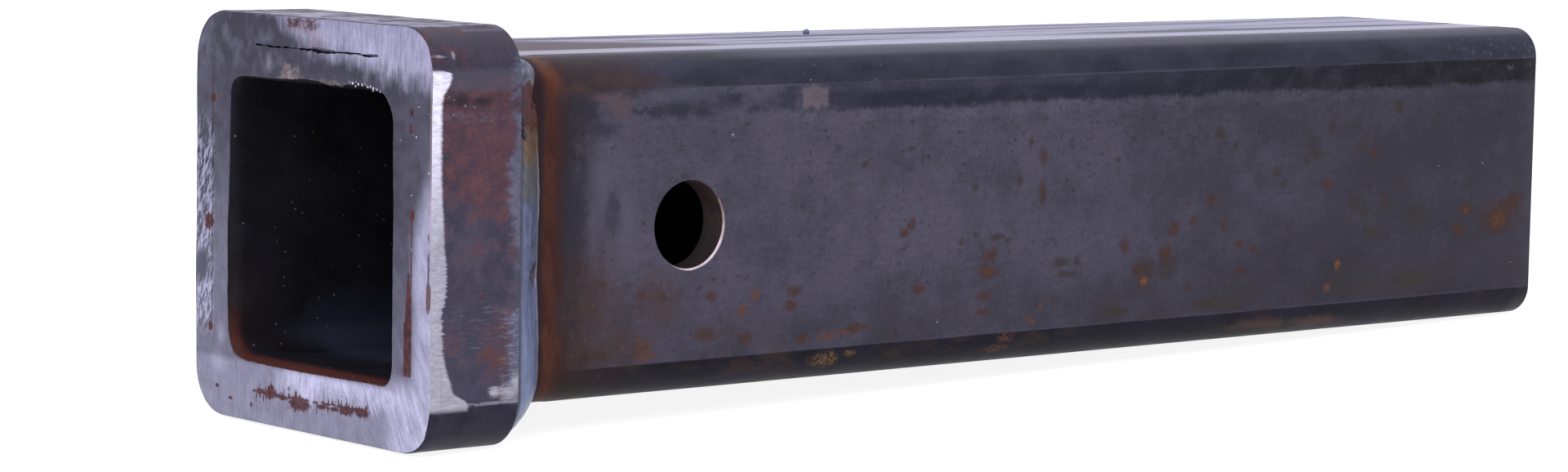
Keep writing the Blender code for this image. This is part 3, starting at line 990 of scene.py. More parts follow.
def mill_scale():
    """The tube's outside: blue-grey scale with a dark stripe, dark upper corners, lower corners painted near
    black as shade, a top painted pale as a reflection, specks and rust.
    """
    s = Sheet("mill_scale")
    near = s.rise(s.y, -20, -26)
    arc = s.rise(s.least(s.size_of(s.y), s.size_of(s.z)), 25.35, 25.65)
    upper = s.rise(s.z, -2, 2)
    middle, fine = flat_scale(s)
    dark_stripe(s, near)
    corner_arcs(s, arc, upper, middle, fine)
    rust, pits, small = rust_and_specks(s, near, arc, upper)
    weld_heat(s, near)

    flecks = s.patches(s.side(), ((98.0, 27.6, 30.0, 3.0),), fine, 1.0, 1.6, 0.8)
    dust = s.most(s.specks(1.8, 0.26, 0.45, seed=4) * flecks, s.specks(9.0, 0.3, 0.55, seed=5))
    s.coat(dust * near * 0.7, (0.24, 0.24, 0.28))

    # The top is smooth enough to mirror the light at a low angle, and its pale colour is a painted
    # reflection on top of that, with duller streaks, a painted highlight line along its near edge, a painted
    # highlight on the corner's shoulder and a scorched part beside the weld
    broad = s.grain(5.0, 3, 0.58, (20, 1, 1), seed=20)
    streaks = s.grain(1.6, 2, 0.55, (50, 1, 1), seed=19) * 0.25 + broad * 0.75
    waver = streaks - 0.5
    late = s.rise(s.x, 60, 96)
    top = s.rise(s.out_z, 0.9, 0.99) * s.rise(s.y, -22.2, -19.2)
    line = s.rise(s.y + waver * 6, -9.0, -12.0)
    scorched = s.rise(s.x + s.y * 1.5 + waver * 50, 92, 72) * s.rise(s.x, 98, 84) * (1 - line)
    stained = s.most(s.rise(streaks, 0.5, 0.57) * (1 - line * 0.7), scorched * 0.95)
    # Painted reflection: the top's pale lavender colour.
    s.coat(top * 0.9, s.mix(stained, (0.19, 0.184, 0.3), (0.062, 0.054, 0.08)))
    # Painted highlight: the pale line along the top's near edge.
    s.coat(top * line, s.mix(late, (0.21, 0.2, 0.24), (0.3, 0.29, 0.37)))
    s.coat(top * scorched * 0.8, (0.04, 0.022, 0.024))
    # Painted highlight: a lighter shoulder where the upper corner turns to the top.
    shoulder_highlight = s.rise(s.out_z, 0.72, 0.9) * s.rise(s.y, -19.2, -22.2) * late
    s.coat(shoulder_highlight, (0.058, 0.056, 0.075))
    dull = line * (s.between(s.x, 53, 61, 5) * 0.28 + (1 - late) * 0.66)

    rough = 0.46 + (middle - 0.5) * 0.3 + rust * 0.25
    rough = s.blend(top, rough, 0.25 + stained * 0.18)
    height = middle * 0.35 + fine * 0.35 - pits * 0.5 + rust * small * 0.7
    height = s.blend(top, height, streaks * 0.25 + middle * 0.2)
    metal = top * (1 - stained * 0.6) * (1 - scorched * 0.62) * (1 - dull)
    return s.finish(rough, s.most(metal, shoulder_highlight * 0.08), height, 0.05, shine=0.08)


FACE_DARK = (0.05, 0.0475, 0.07)
FACE_BRIGHT = (0.64, 0.635, 0.87)

# Rust on the ground face, as y and z of the middle, width and height
FACE_RUST = (
    (15.8, -32.0, 3.4, 1.1), (12.6, -31.9, 3.6, 2.4), (8.6, -32.4, 4.6, 1.0),
    (3.0, -33.0, 7.0, 2.6), (-4.2, -32.6, 4.0, 0.9), (-8.2, -32.6, 3.4, 1.0),
    (-11.8, -32.5, 4.6, 1.8), (-16.4, -32.2, 4.8, 2.0), (33.4, -1.8, 3.0, 3.4),
    (32.0, 21.6, 1.6, 1.7), (32.6, -21.6, 1.6, 1.8), (-31.6, 22.8, 1.2, 1.6),
    (-31.4, 20.0, 0.8, 2.2), (30.3, -32.5, 1.6, 0.7), (25.9, -34.4, 1.4, 0.7),
    (18.7, -34.9, 0.8, 0.9),
)


def grinding(s):
    """Grinder strokes: upright over most of the face, leaning in the near lower part."""
    upright = s.vector(0.0, s.y, s.z)
    slanted = s.vector(3.0, s.y - s.z * 0.5, s.z)
    lean = s.rise(s.y, 2, -22) * s.rise(s.z, 10, -6)
    fine = s.grain(0.46, 2, 0.5, (1, 1, 8), seed=30, place=upright)
    wide = s.grain(1.1, 2, 0.5, (1, 1, 6), seed=31, place=upright)
    fine = s.blend(lean, fine, s.grain(0.52, 2, 0.5, (1, 1, 7), seed=32, place=slanted))
    wide = s.blend(lean, wide, s.grain(1.2, 2, 0.5, (1, 1, 5), seed=33, place=slanted))
    return fine, wide


def ground_and_reflection_level(s, fine, wide):
    """How bright each part of the face is: partly how far it is ground, 0 where the dull skin still shows,
    and partly painted reflection of the light, with a painted highlight in the hot zone low down by the
    opening.
    """
    streak = (fine - 0.5) * 1.0 + (wide - 0.5) * 0.7
    feather = (fine - 0.5) * 2.8 + (wide - 0.5) * 1.2
    soft = s.grain(8, 3, 0.55, seed=34) - 0.5
    blot = s.grain(3.4, 2, 0.5, seed=43) - 0.5
    edge_top = s.z - s.most(s.y * 0.48, s.y * 0.13) - 32.6 + feather + blot * 3.5
    top = s.rise(edge_top, -2.8, 2.8) * 0.45 + s.rise(edge_top + blot * 8, -7.0, 0.5) * 0.03
    top = top * s.rise(s.z, 24, 27)
    reach = s.y + 32.2 + s.most(s.z - 1.0, 0.0) * 0.38 + feather * 0.5
    right = s.rise(reach + soft * 5, 3.0, -3.2) * s.rise(s.z, 20, 2) * 0.5
    low = s.rise(s.z, -24.5, -28.0)
    band = s.z + s.y * 0.08 + feather * 1.4 + soft * 8
    # Painted highlight: the near-white zone low down by the opening.
    hot = low * s.rise(s.y + feather * 0.9 + soft * 16, 20.0, 3.0) * s.rise(band, -37.5, -27.5)
    corner = s.rise(s.z, -22, -28) * s.rise(s.y, -16, -30)
    left = s.rise(s.y, 24.5, 25.5) * s.rise(s.z + soft * 8, 26, -12)
    inner = s.rise(s.y, -22, -27) * s.rise(s.z, 10, -24)
    skin = 0.016 + inner * 0.1
    ground_and_reflection = s.most(skin, left * 0.17, low * 0.29, low * hot * 0.67, corner * 0.58, right, top)
    ground_and_reflection = ground_and_reflection + s.rise(s.y, 25, 35) * s.rise(s.z, 10, 30) * 0.045
    ground_and_reflection = ground_and_reflection + s.rise(s.y, -27, -36) * s.rise(s.z, 2, 12) * 0.035
    bite = 0.4 + s.rise(ground_and_reflection, 0.2, 0.5) * 0.34
    ground_and_reflection = ground_and_reflection * (1 + streak * bite * 1.3 + soft * 0.4 + blot * 0.2)
    cloudy = s.rise(s.y, 6, 13) * s.rise(s.z, 26, 31)
    return ground_and_reflection + streak * (0.026 + cloudy * 0.05) + blot * (0.13 + cloudy * 0.22)


def face_cracks(s):
    """Rust where the seam comes to the surface at the near side and the underside."""
    plane = s.front()
    wander = (s.grain(1.1, 3, 0.7, seed=36) - 0.5) * 2.4
    stab = s.rise(s.grain(0.85, 2, 0.6, (1, 1, 7), seed=38), 0.5, 0.72) * 2.1
    edge = s.grain(0.7, 3, 0.75, (1, 1, 3.5), seed=46)
    rust = s.patches(plane, FACE_RUST, edge, 2.4, 1.1, 0.8)
    run = s.rise(s.grain(2.4, 3, 0.7, seed=37), 0.4, 0.46)
    seam = s.size_of(s.z + 32.0 + s.y * 0.012 + wander * 0.35) - stab
    seam = s.rise(seam, 0.32, 0.12) * s.between(s.y, -19.6, 18.0, 0.5)
    broken = s.rise(s.grain(1.3, 3, 0.7, (1, 1, 2), seed=39), 0.36, 0.46)
    line = s.rise(s.size_of(s.y + 31.8 + wander * 0.12), 0.32, 0.12)
    line = line * s.between(s.z, -23.0, 3.6, 0.8) * broken
    blot = s.patches(plane, ((-31.9, 4.7, 1.8, 2.4),), edge, 1.6, 1.1, 0.7)
    strip = s.rise(s.size_of(s.y + 30.8 + wander * 0.04), 1.25, 1.05) * s.between(s.z, -24.0, -14.6, 0.3)
    tip = s.rise(s.size_of(s.y + 31.1 + wander * 0.1) - s.rise(s.z, -6, -14) * 0.7, 0.42, 0.2)
    tip = tip * s.between(s.z, -15.0, -6.0, 0.8)
    second = s.size_of(s.y + 36.9 + wander * 0.12) - s.between(s.z, -11.0, -8.0, 1.5) * 0.35
    second = s.rise(second, 0.34, 0.14) * s.between(s.z, -12.0, 1.5, 0.6) * broken
    left = s.rise(s.size_of(s.y - 32.2 + wander * 0.12), 0.24, 0.08)
    left = left * s.between(s.z, -21.6, 27.0, 0.6) * broken
    return s.most(rust, seam * run, line, blot, strip, tip, second * 0.9, left * 0.8)


def ground_steel():
    """The face, dressed with an angle grinder: strokes that change direction round the frame, and bright and
    dull zones that are partly grinding and partly painted reflection.
    """
    s = Sheet("ground_steel")
    plane = s.front()
    fine, wide = grinding(s)
    ground_and_reflection = ground_and_reflection_level(s, fine, wide)
    scaly = s.vector(0.0, s.y + s.z * 0.3, s.z)
    nick = s.rise(s.grain(0.5, 2, 0.6, (1, 1, 3.4), seed=35, place=scaly), 0.42, 0.6)
    flecked = s.rise(s.y, 31.2, 32.6) * s.rise(s.z, 21, 12) * s.rise(s.z, -25, -18)
    worn = s.patches(plane, ((36.0, -10.0, 6.0, 6.4), (35.0, 15.0, 3.0, 4.0)), wide, 1.0, 1.4, 0.4)
    flecked = flecked * (1 - worn)
    ground_and_reflection = ground_and_reflection * (1 - worn * 0.6) + flecked * (nick - 0.18) * 0.46
    pale = s.patches(plane, ((29.0, -22.6, 3.4, 5.0), (30.0, -28.0, 6.0, 4.0)), wide, 1.4, 1.4, 0.1)
    ground_and_reflection = ground_and_reflection + pale * 0.14
    ground_and_reflection = s.least(s.most(ground_and_reflection, 0.0), 1.0)
    # The mix from dull to bright carries painted reflection as well as grinding.
    s.colour = s.mix(ground_and_reflection, FACE_DARK, FACE_BRIGHT)
    s.shade(s.vary((s.grain(0.6, 2, 0.5, seed=44), 0.35)))

    rust = face_cracks(s)
    warm = s.grain(1.0, 3, 0.65, seed=45)
    red = s.mix(s.rise(warm, 0.35, 0.65), (0.028, 0.007, 0.008), (0.08, 0.021, 0.019))
    s.coat(rust * 0.94, red)
    torn = s.grain(1.2, 4, 0.7, seed=97)
    washed = s.patches(plane, ((2.6, 36.6, 12.0, 4.4), (-1.6, 34.0, 7.0, 4.0)), torn, 2.4, 1.4, 0.0)
    s.coat(washed * 0.46, (0.2, 0.12, 0.14))
    mottle = s.patches(plane, ((5.6, 37.0, 6.0, 2.6), (0.4, 36.8, 5.6, 2.6)), torn, 2.4, 1.2, 0.4)
    s.coat(mottle * s.rise(warm, 0.3, 0.54) * 0.9, (0.066, 0.022, 0.024))

    peak = s.between(s.y, 6.8, 8.4, 1.4) * 1.7 + s.between(s.y, 4.0, 5.0, 1.0) * 1.3
    crest = s.rise(s.z - peak - (torn - 0.5) * 5.0, 27.9, 27.1)
    slag = crest * s.between(s.y + (torn - 0.5) * 4, 4.2, 9.2, 1.6) * s.rise(s.z, 25.9, 26.3)
    lip = s.rise(s.z - (torn - 0.5) * 3.0, 27.2, 26.7) * s.rise(s.z, 24, 25)
    lip = lip * s.between(s.y, -20.5, 10.0, 1.5) * s.rise(warm, 0.36, 0.56)
    spot = s.patches(plane, ((13.6, 29.3, 2.4, 3.8),), torn, 1.6, 1.4, 0.0)
    s.coat(spot * 0.6, (0.24, 0.225, 0.27))
    beige = s.mix(s.rise(warm, 0.3, 0.7), (0.06, 0.042, 0.041), (0.23, 0.18, 0.18))
    s.coat(s.most(slag * 0.75, lip * 0.6), beige)
    dust = s.specks(2.0, 0.26, 0.4, seed=6) * s.rise(s.y, -26, -28)
    dust = dust * s.rise(s.z, 0, 8) * s.rise(s.z, 30, 26)
    dust = s.most(dust, s.specks(3.0, 0.25, 0.35, seed=7) * s.rise(s.y, 29, 32) * s.rise(s.z, 12, 20))
    s.coat(dust * 0.8, (0.62, 0.62, 0.68))
    thread = s.rise(s.y, -36.9, -37.2) * s.rise(s.z, -4, 4)
    s.coat(thread * 0.4, (0.36, 0.29, 0.27))

    rough = 0.46 - ground_and_reflection * 0.12 + rust * 0.3
    metal = 1 - s.most(rust, slag)
    height = fine * 0.5 + wide * 0.5 + nick * flecked * 0.5 - rust * 0.4
    return s.finish(rough, metal, height, 0.018, shine=0.12)


SIDE_GREY = (0.033, 0.029, 0.046)
SIDE_BLUE = (0.05, 0.044, 0.069)
SIDE_MAROON = (0.06, 0.027, 0.037)
SIDE_RED = (0.09, 0.034, 0.032)
ARC_SLATE = (0.034, 0.029, 0.043)
ARC_INK_SHADE = (0.017, 0.015, 0.027)


def collar_flat(s, middle, fine):
    """The side's own colour: blue-grey scale under patches of maroon rust."""
    broad = s.grain(7, 4, 0.6, seed=50)
    drawn = s.grain(0.5, 3, 0.6, (6, 1, 1), seed=61)
    s.colour = s.mix(s.rise(broad * 0.6 + middle * 0.4, 0.38, 0.62), SIDE_GREY, SIDE_BLUE)
    lean = s.rise(s.z, 0, 13) * 0.17 + s.rise(s.x, 8, 15) * 0.06 + s.between(s.z, -22, -15, 3) * 0.09
    lean = lean - s.rise(s.z, 27, 31) * 0.16 - 0.02
    speck = s.grain(1.3, 4, 0.7, seed=62)
    spread = middle * 0.36 + broad * 0.48 + speck * 0.16 + lean
    maroon = s.rise(spread, 0.5, 0.66)
    reddish = s.mix(s.rise(speck * 0.5 + middle * 0.5, 0.42, 0.62), SIDE_MAROON, SIDE_RED)
    s.coat(maroon * (0.55 + speck * 0.4), reddish)
    bits = s.specks(3.0, 1.25, 0.3, seed=7) * s.rise(speck, 0.36, 0.62) * (1 - maroon)
    s.coat(bits * 0.45, SIDE_RED)
    s.coat(s.rise(s.z, -2, -18) * 0.35, (0.044, 0.043, 0.072))
    s.shade(s.vary((fine, 0.5), (drawn, 0.35), (middle, 0.5)))
    return maroon, bits


def collar_marks(s, near, under, fine):
    """The smudge near the top, fine scratches, and a pale blue-grey strip along the rear edge."""
    side = s.side()
    edge = s.grain(1.0, 4, 0.7, (2.0, 1, 1), seed=53)
    smudges = ((6.4, 25.2, 5.4, 2.8), (10.6, 25.0, 5.4, 2.0), (3.4, 24.9, 3.0, 1.4))
    smudge = s.patches(side, smudges, edge, 2.0, 1.5, 0.1)
    s.coat(smudge * near * 0.8, (0.012, 0.011, 0.016))
    pale = s.between(s.z, 21.8, 22.6, 1.0) * s.rise(edge, 0.42, 0.62) * s.between(s.x, 3, 15, 2.0)
    s.coat(pale * near * 0.35, (0.105, 0.105, 0.14))
    beads = s.specks(1.2, 0.34, 0.5, seed=10) * s.between(s.z, 23.0, 26.2, 0.8) * s.between(s.x, 4, 13, 1.5)
    s.coat(beads * near * 0.7, (0.26, 0.24, 0.27))
    scratch = s.rise(s.grain(0.4, 3, 0.6, (9, 1, 1), seed=54), 0.54, 0.68) * s.between(s.z, -20, -10, 4)
    scratch = scratch * s.rise(s.grain(5, 3, 0.6, (2, 1, 1), seed=55), 0.42, 0.6)
    s.coat(scratch * near * 0.3, (0.15, 0.145, 0.2))
    blotch = s.patches(side, ((15.4, -21.4, 5.4, 3.4), (12.4, -20.2, 3.4, 2.4)), edge, 2.6, 1.4, 0.1)
    s.coat(blotch * near * 0.7, (0.082, 0.033, 0.026))
    torn = (s.grain(1.1, 3, 0.62, (3.6, 1, 1), seed=56) - 0.5) * 6.0 - 0.3
    swell = s.between(s.z, 6.0, 13.0, 4.0) * 1.0 + s.between(s.z, -26.0, -15.0, 3.0) * 0.6
    rear = s.rise(s.x + torn + swell, 16.4, 18.8)
    rear = rear * s.rise(s.grain(6, 3, 0.6, seed=57) + swell * 0.1 - s.rise(s.z, 22, 28) * 0.15, 0.36, 0.52)
    rear = rear * (1 - s.between(s.z, -12.0, -6.0, 1.5) * near * 0.8)
    rear_tone = s.mix(s.rise(fine * 0.4 + edge * 0.6, 0.35, 0.65), (0.062, 0.068, 0.102), (0.108, 0.12, 0.178))
    s.coat(rear * (1 - under) * 0.8, rear_tone)
    nap = s.rise(s.grain(0.45, 3, 0.65, (5, 1, 1), seed=65), 0.5, 0.62)
    nap = nap * s.rise(s.x + torn, 13.5, 17.5) * s.between(s.z, -26.0, -13.0, 2.0) * near
    s.coat(nap * 0.5, (0.18, 0.18, 0.24))
    return smudge


def ground_edge(s, near, under):
    """Where the side is ground bright: along the face, in the lower near corner, and at the rear."""
    flat = s.rise(s.y, -36.5, -37.1) * s.rise(s.z, -30.4, -29.2)
    feather = (s.grain(0.42, 2, 0.6, (7, 1, 1), seed=58) - 0.5) * 2.6
    feather = feather * (0.25 + s.between(s.z, -16.0, -7.0, 5.0) * 0.75)
    reach = 1.95 + s.rise(s.z, 13, 0) * 0.75
    reach = reach + s.between(s.z, -9, -4, 4) * 0.5 - s.between(s.z, -17, -12, 3) * 0.25
    reach = reach + s.rise(s.z, -19, -28.5) * 2.5 + s.rise(s.z, -26.5, -29.0) * 3.0
    reach = reach + s.rise(s.z, 25.0, 29.4) * s.rise(s.z, 30.8, 30.0) * 2.0
    strip = s.rise(s.x + feather - reach, 0.4, -0.4) * flat * s.rise(s.z, 30.8, 30.0)
    side = s.side()
    torn = s.grain(0.7, 4, 0.74, (3.0, 1, 1), seed=59)
    dabs = ((17.4, -27.4, 5.0, 3.4), (18.8, -25.4, 2.6, 3.4), (14.0, -27.0, 2.6, 2.4))
    dab = s.patches(side, dabs, torn, 2.6, 1.35, 0.2) * near
    line = s.between(s.z, -29.2, -28.8, 0.18) * s.between(s.x, 6.0, 19.0, 1.0)
    line = line * near * s.rise(torn, 0.36, 0.56)
    nicks = s.patches(side, ((1.9, 33.0, 2.8, 0.6), (5.0, 33.1, 0.8, 1.3)), torn, 2.6, 1.2, 0.4) * near
    return strip, s.most(dab * 0.95, line * 0.5, nicks * 0.22)


def collar_scale():
    """The collar's sides: blue-grey scale with maroon rust, ground bright along the bevel, with painted
    shade on the lower corners and the underside and a painted reflection on the top.
    """
    s = Sheet("collar_scale")
    near = s.rise(s.y, -30, -36)
    arc = s.rise(s.least(s.size_of(s.y), s.size_of(s.z)), 28.9, 29.6)
    under = s.rise(s.z, -27.5, -30.5)
    middle = s.grain(2.6, 4, 0.65, seed=51)
    fine = s.grain(0.55, 3, 0.6, seed=52)
    maroon, bits = collar_flat(s, middle, fine)
    slate = s.scaled(ARC_SLATE, s.vary((middle, 1.2), (fine, 0.8)))
    patch = s.rise(s.grain(3.2, 4, 0.68, seed=63) + s.rise(s.x, 5.0, 1.0) * 0.1, 0.56, 0.64)
    slate = s.mix(patch * 0.7, slate, SIDE_MAROON)
    s.coat(arc * s.rise(s.z, 0, 4), slate)
    shelf = s.between(s.z + (middle - 0.5) * 3, 27.6, 29.8, 1.5) * near
    s.coat(shelf * 0.6, (0.06, 0.056, 0.078))
    # Painted shade: the lower corners and the underside are painted near black.
    shaded_ink = s.scaled(ARC_INK_SHADE, s.vary((middle, 1.8), (fine, 0.6)))
    s.coat(s.most(arc * s.rise(s.z, 0, -4), under), shaded_ink)
    smudge = collar_marks(s, near, under, fine)

    top = s.rise(s.out_z, 0.86, 0.985)
    streaks = s.grain(2.6, 3, 0.55, (5, 1, 1), seed=64)
    stained = s.rise(streaks + (middle - 0.5) * 0.3 + s.rise(s.x, 3, 14) * 0.05, 0.48, 0.6)
    # Painted reflection: the top's pale lilac colour.
    s.coat(top * 0.8, s.mix(stained, (0.13, 0.125, 0.18), (0.046, 0.036, 0.05)))

    strip, dabs = ground_edge(s, near, under)
    ground_tone = 0.35 + s.rise(s.z, -4, 27) * 0.38
    ground_tone = ground_tone * s.vary((s.grain(0.45, 3, 0.6, (7, 1, 1), seed=60), 1.0))
    s.coat(s.most(strip, dabs), s.scaled((0.94, 0.92, 1.08), ground_tone))
    bare = s.most(strip, dabs)
    rough = 0.45 + (middle - 0.5) * 0.3 - top * 0.2 + maroon * 0.12 + stained * top * 0.2
    height = middle * 0.5 + fine * 0.3 - smudge * 0.6 - bits * 0.2
    return s.finish(rough, s.most(bare * 0.85, top * (1 - stained) * 0.4), height, 0.07, shine=0.1)


def weld_metal():
    """The rear bead: steel blue, olive where it ran hotter, with a painted highlight along its toe."""
    s = Sheet("weld_metal")
    near = s.rise(s.y, -26, -30)
    middle = s.grain(2.6, 4, 0.6, seed=70)
    fine = s.grain(0.5, 3, 0.6, seed=71)
    run = s.grain(1.0, 3, 0.6, (1, 1, 9), seed=72)
    high = s.z + (s.grain(3.0, 4, 0.65, seed=75) - 0.5) * 9
    s.colour = s.mix(s.rise(middle, 0.3, 0.7), (0.062, 0.076, 0.13), (0.098, 0.12, 0.21))
    s.coat(s.rise(high, 2, -16) * near * 0.7, (0.118, 0.146, 0.26))
    s.coat(s.between(high, 8, 12, 3.5) * near * 0.8, (0.07, 0.074, 0.066))
    s.coat(s.between(high, 14.6, 21.0, 3.0) * near * 0.95, (0.108, 0.064, 0.031))
    dark = s.mix(middle, (0.044, 0.01, 0.009), (0.084, 0.028, 0.019))
    s.coat(s.between(high, 20.4, 26.6, 2.0) * near * 0.94, dark)
    notch = s.between(high, 21.4, 26.4, 1.2) * near
    lump = s.rise(high, 26.4, 27.9) * near
    blob = s.mix(s.rise(middle, 0.4, 0.6), (0.066, 0.072, 0.104), (0.165, 0.166, 0.215))
    s.coat(lump * 0.95, blob)
    shadow = s.rise(s.x, COLLAR_LENGTH + 1.5, COLLAR_LENGTH + 0.5) * (1 - lump)
    s.coat(shadow * 0.85, (0.018, 0.019, 0.03))
    # Painted highlight: the light line where the toe's ridge catches the light.
    toe = s.rise(s.x + (run - 0.5) * 0.8, WELD_TOE - 1.6, WELD_TOE - 1.0) * s.rise(s.z, 19, 16)
    s.coat(toe * near * 0.6, (0.27, 0.24, 0.27))
    side = s.side()
    pit = s.patches(side, ((26.4, -7.0, 2.4, 5.4),), s.grain(0.8, 3, 0.7, seed=73), 0.8) * near
    s.coat(pit * 0.9, (0.014, 0.01, 0.014))
    drop = s.patches(side, ((25.0, -8.4, 1.1, 1.8),), fine, 1.6) * near
    s.coat(drop * 0.8, (0.3, 0.15, 0.08))
    stray = s.rise(s.grain(3.5, 4, 0.6, seed=74), 0.56, 0.68) * (1 - near)
    s.coat(stray * 0.6, (0.06, 0.026, 0.018))
    s.shade(s.vary((fine, 0.6), (run, 1.4)))
    rough = 0.36 + (middle - 0.5) * 0.3 + notch * 0.3
    height = run * 0.5 + fine * 0.3 + middle * 0.4 - pit * 0.5
    return s.finish(rough, 0.3, height, 0.05, shine=0.3)


def bore_scale():
    """The inside of the tube: scale painted near black as shade, with a painted bluish sheen low down,
    rusting behind the mouth.
    """
    s = Sheet("bore_scale")
    broad = s.grain(12, 4, 0.6, seed=80)
    fine = s.grain(0.8, 3, 0.6, seed=81)
    # Painted shade: the scale inside is painted far darker than the same scale outside.
    s.colour = s.mix(s.rise(broad, 0.35, 0.65), (0.0065, 0.0062, 0.0085), (0.0105, 0.01, 0.014))
    low = s.rise(s.z, -14, -24)
    # Painted sheen: a bluish light on the bore's floor and the low part of the far wall.
    sheen = s.rise(s.z, -12, -25) * s.between(s.x + (broad - 0.5) * 16, 21, 58, 8)
    s.coat(sheen * 0.85, (0.022, 0.025, 0.044))
    lip = s.rise(s.x + (fine - 0.5) * 2, 3.4, 1.4) * low
    far = s.rise(s.y, 22, 25) * s.rise(s.z, -4, -18) * s.rise(s.x + (broad - 0.5) * 10, 13, 1)
    s.coat(s.most(lip * 0.9, far * 0.1), (0.05, 0.014, 0.01))
    dust = s.specks(1.9, 0.27, 0.45, seed=8)
    s.coat(dust * 0.7, (0.15, 0.15, 0.155))
    s.shade(0.7 + fine * 0.6)
    return s.finish(0.5, 0.0, fine * 0.5 + broad, 0.06, shine=0.06)


def sawn_steel():
    """The tail's end, as the bandsaw left it and dulled since."""
    s = Sheet("sawn_steel")
    cut = s.grain(0.5, 3, 0.6, (1, 1, 30), seed=90)
    broad = s.grain(8, 3, 0.6, seed=91)
    s.colour = s.mix(s.rise(broad * 0.5 + cut * 0.5, 0.35, 0.65), (0.13, 0.12, 0.14), (0.26, 0.25, 0.3))
    rust = s.rise(s.grain(4, 4, 0.65, seed=92), 0.56, 0.68)
    s.coat(rust * 0.75, (0.085, 0.034, 0.018))
    return s.finish(0.42 + rust * 0.3, 0.85 - rust * 0.7, cut, 0.04)


def drilled_steel():
    """The pin hole's wall, browned since it was drilled."""
    s = Sheet("drilled_steel")
    turn = s.grain(0.5, 2, 0.6, (20, 1, 20), seed=93)
    spot = s.rise(s.grain(1.6, 3, 0.65, seed=95), 0.5, 0.62) * s.rise(s.z, -3, 3)
    s.colour = s.mix(turn, (0.02, 0.016, 0.018), (0.048, 0.036, 0.036))
    s.coat(spot * 0.7, (0.085, 0.034, 0.018))
    return s.finish(0.42, 0.3, turn, 0.02, shine=0.25)


def deburred_steel():
    """The bright edge where the burr was knocked off the pin hole."""
    s = Sheet("deburred_steel")
    shine = s.rise((s.x - PIN_X) * 0.45 - s.z, 0, 8)
    worn = s.grain(1.6, 3, 0.6, seed=94)
    s.colour = s.mix(shine, (0.16, 0.12, 0.125), (0.56, 0.46, 0.47))
    s.shade(0.35 + worn * 1.3)
    return s.finish(0.4, 0.85)


def bright_crumb():
    """Torn crumbs of clean metal."""
    s = Sheet("bright_crumb")
    lump = s.grain(0.4, 3, 0.6, seed=96)
    s.colour = s.mix(s.rise(lump, 0.35, 0.6), (0.2, 0.19, 0.23), (0.56, 0.55, 0.66))
    return s.finish(0.45, 0.8, lump, 0.05)


def plain_floor():
    """A plain pale floor, lit from below like a photographer's light table."""
    material = bpy.data.materials.new("pale_floor")
    material.use_nodes = True
    shader = material.node_tree.nodes["Principled BSDF"]
    shader.inputs["Base Color"].default_value = (0.3, 0.3, 0.3, 1)
    shader.inputs["Roughness"].default_value = 0.9
    shader.inputs["Specular IOR Level"].default_value = 0.1
    shader.inputs["Emission Color"].default_value = (1.0, 1.0, 1.0, 1)
    shader.inputs["Emission Strength"].default_value = 0.88
    material.cycles.emission_sampling = "NONE"
    return material


# Floor, light and camera

# Half the floor's width, and how far it lies below the part, in metres
FLOOR_HALF = 9.0
FLOOR_GAP = 0.00005

def make_floor():
    """The floor touches the collar's lower rear edge and the tail's, on which the part rests."""
    front = row_point(COLLAR_LENGTH - 0.6, 0, -COLLAR_HALF)
    back = row_point(LENGTH, 0, -TUBE_HALF)
    slope = math.atan2(back.z - front.z, back.x - front.x)
    data = bpy.data.meshes.new("floor")
    corners = [(-FLOOR_HALF, -FLOOR_HALF, 0), (FLOOR_HALF, -FLOOR_HALF, 0)]
    corners += [(FLOOR_HALF, FLOOR_HALF, 0), (-FLOOR_HALF, FLOOR_HALF, 0)]
    data.from_pydata(corners, [], [(0, 1, 2, 3)])
    data.materials.append(plain_floor())
    floor = linked("floor", data)
    floor.rotation_euler = (0, -slope, 0)
    floor.location = (back + front) / 2 - Vector((0, 0, FLOOR_GAP))


def soft_light(name, place, target, width, height, power, colour):
    """A softbox at a place in metres, turned to face its target."""
    data = bpy.data.lights.new(name, "AREA")
    data.shape = "RECTANGLE"
    data.size = width
    data.size_y = height
    data.energy = power
    data.color = colour
    light = linked(name, data)
    light.location = place
    light.rotation_mode = "QUATERNION"
    light.rotation_quaternion = (Vector(target) - Vector(place)).to_track_quat("-Z", "Y")


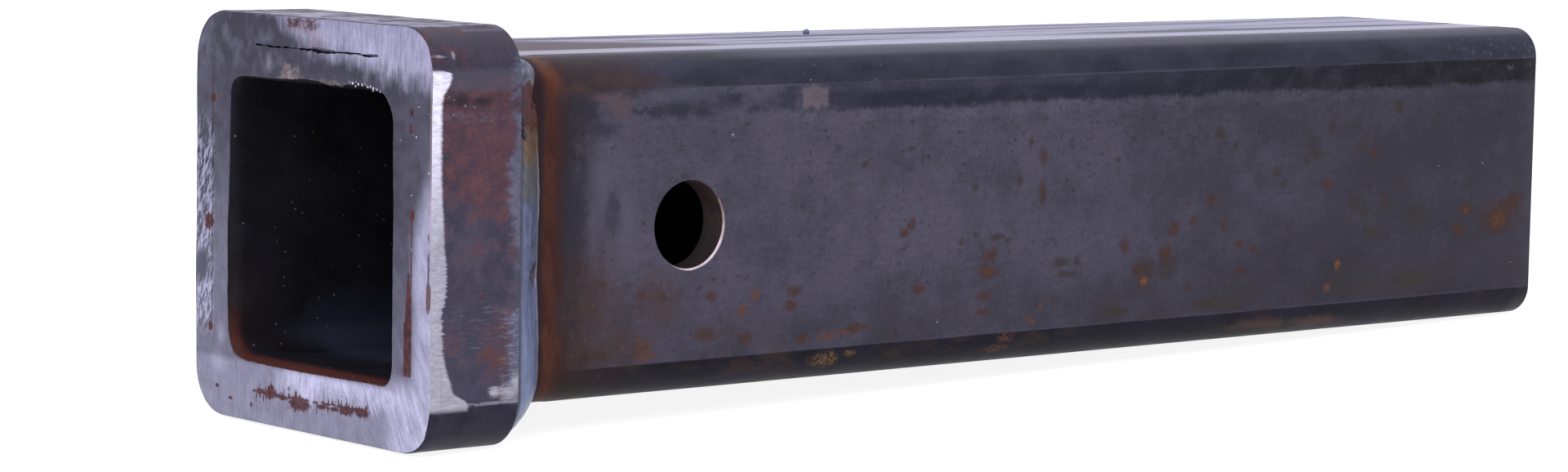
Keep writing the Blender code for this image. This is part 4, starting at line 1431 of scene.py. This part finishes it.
def make_lights():
    """A white tent of light with a softbox over the mouth's end."""
    world = bpy.data.worlds.new("tent")
    world.use_nodes = True
    world.node_tree.nodes["Background"].inputs[0].default_value = (0.93, 0.91, 1.08, 1)
    world.node_tree.nodes["Background"].inputs[1].default_value = 0.9
    bpy.context.scene.world = world
    soft_light("key", (-0.9, -0.7, 0.9), (-0.1, 0, 0.04), 0.8, 0.8, 9, (1.0, 0.99, 1.0))
    data = bpy.data.lights.new("sky", "SUN")
    data.energy = 1.6
    data.angle = math.radians(100)
    linked("sky", data)


def make_camera():
    """The photograph's view."""
    yaw, pitch, roll = (math.radians(turn) for turn in (CAMERA_YAW, CAMERA_PITCH, CAMERA_ROLL))
    ahead = Vector((math.cos(yaw) * math.cos(pitch), math.sin(yaw) * math.cos(pitch), math.sin(pitch)))
    right = ahead.cross(Vector((0, 0, 1))).normalized()
    up = right.cross(ahead)
    image_right = right * math.cos(roll) + up * math.sin(roll)
    image_up = up * math.cos(roll) - right * math.sin(roll)
    data = bpy.data.cameras.new("camera")
    data.sensor_width = SENSOR
    data.lens = FOCAL_PIXELS / PHOTO_WIDTH * SENSOR
    data.clip_start = 0.05
    data.clip_end = 50
    camera = linked("camera", data)
    turn = Matrix((image_right, image_up, -ahead)).transposed()
    camera.matrix_world = Matrix.Translation(row_point(*CAMERA_PLACE)) @ turn.to_4x4()
    bpy.context.scene.camera = camera


def dress():
    """Builds the dressed pieces and sets each in place of its CAD node."""
    scale, ground, bore = mill_scale(), ground_steel(), bore_scale()
    tube = tube_piece([scale, ground, bore, sawn_steel(), drilled_steel(), deburred_steel()])
    collar = collar_piece([collar_scale(), ground])
    weld = weld_metal()
    bead = weld_piece(weld)
    spatter = drops("spatter", SPATTER, weld)
    crumbs = drops("crumbs", CRUMBS, bright_crumb())
    slots = [(tube, "mill_scale"), (collar, "ground_steel"), (crumbs, "ground_steel")]
    slots += [(bead, "weld_metal"), (spatter, "weld_metal")]
    for piece, slot in slots:
        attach(piece, "root")
    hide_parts("receiver_tube")
    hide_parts("collar", "front_weld")
    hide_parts("rear_weld")


bpy.context.scene.view_settings.view_transform = "Standard"
make_camera()
make_floor()
make_lights()
dress()
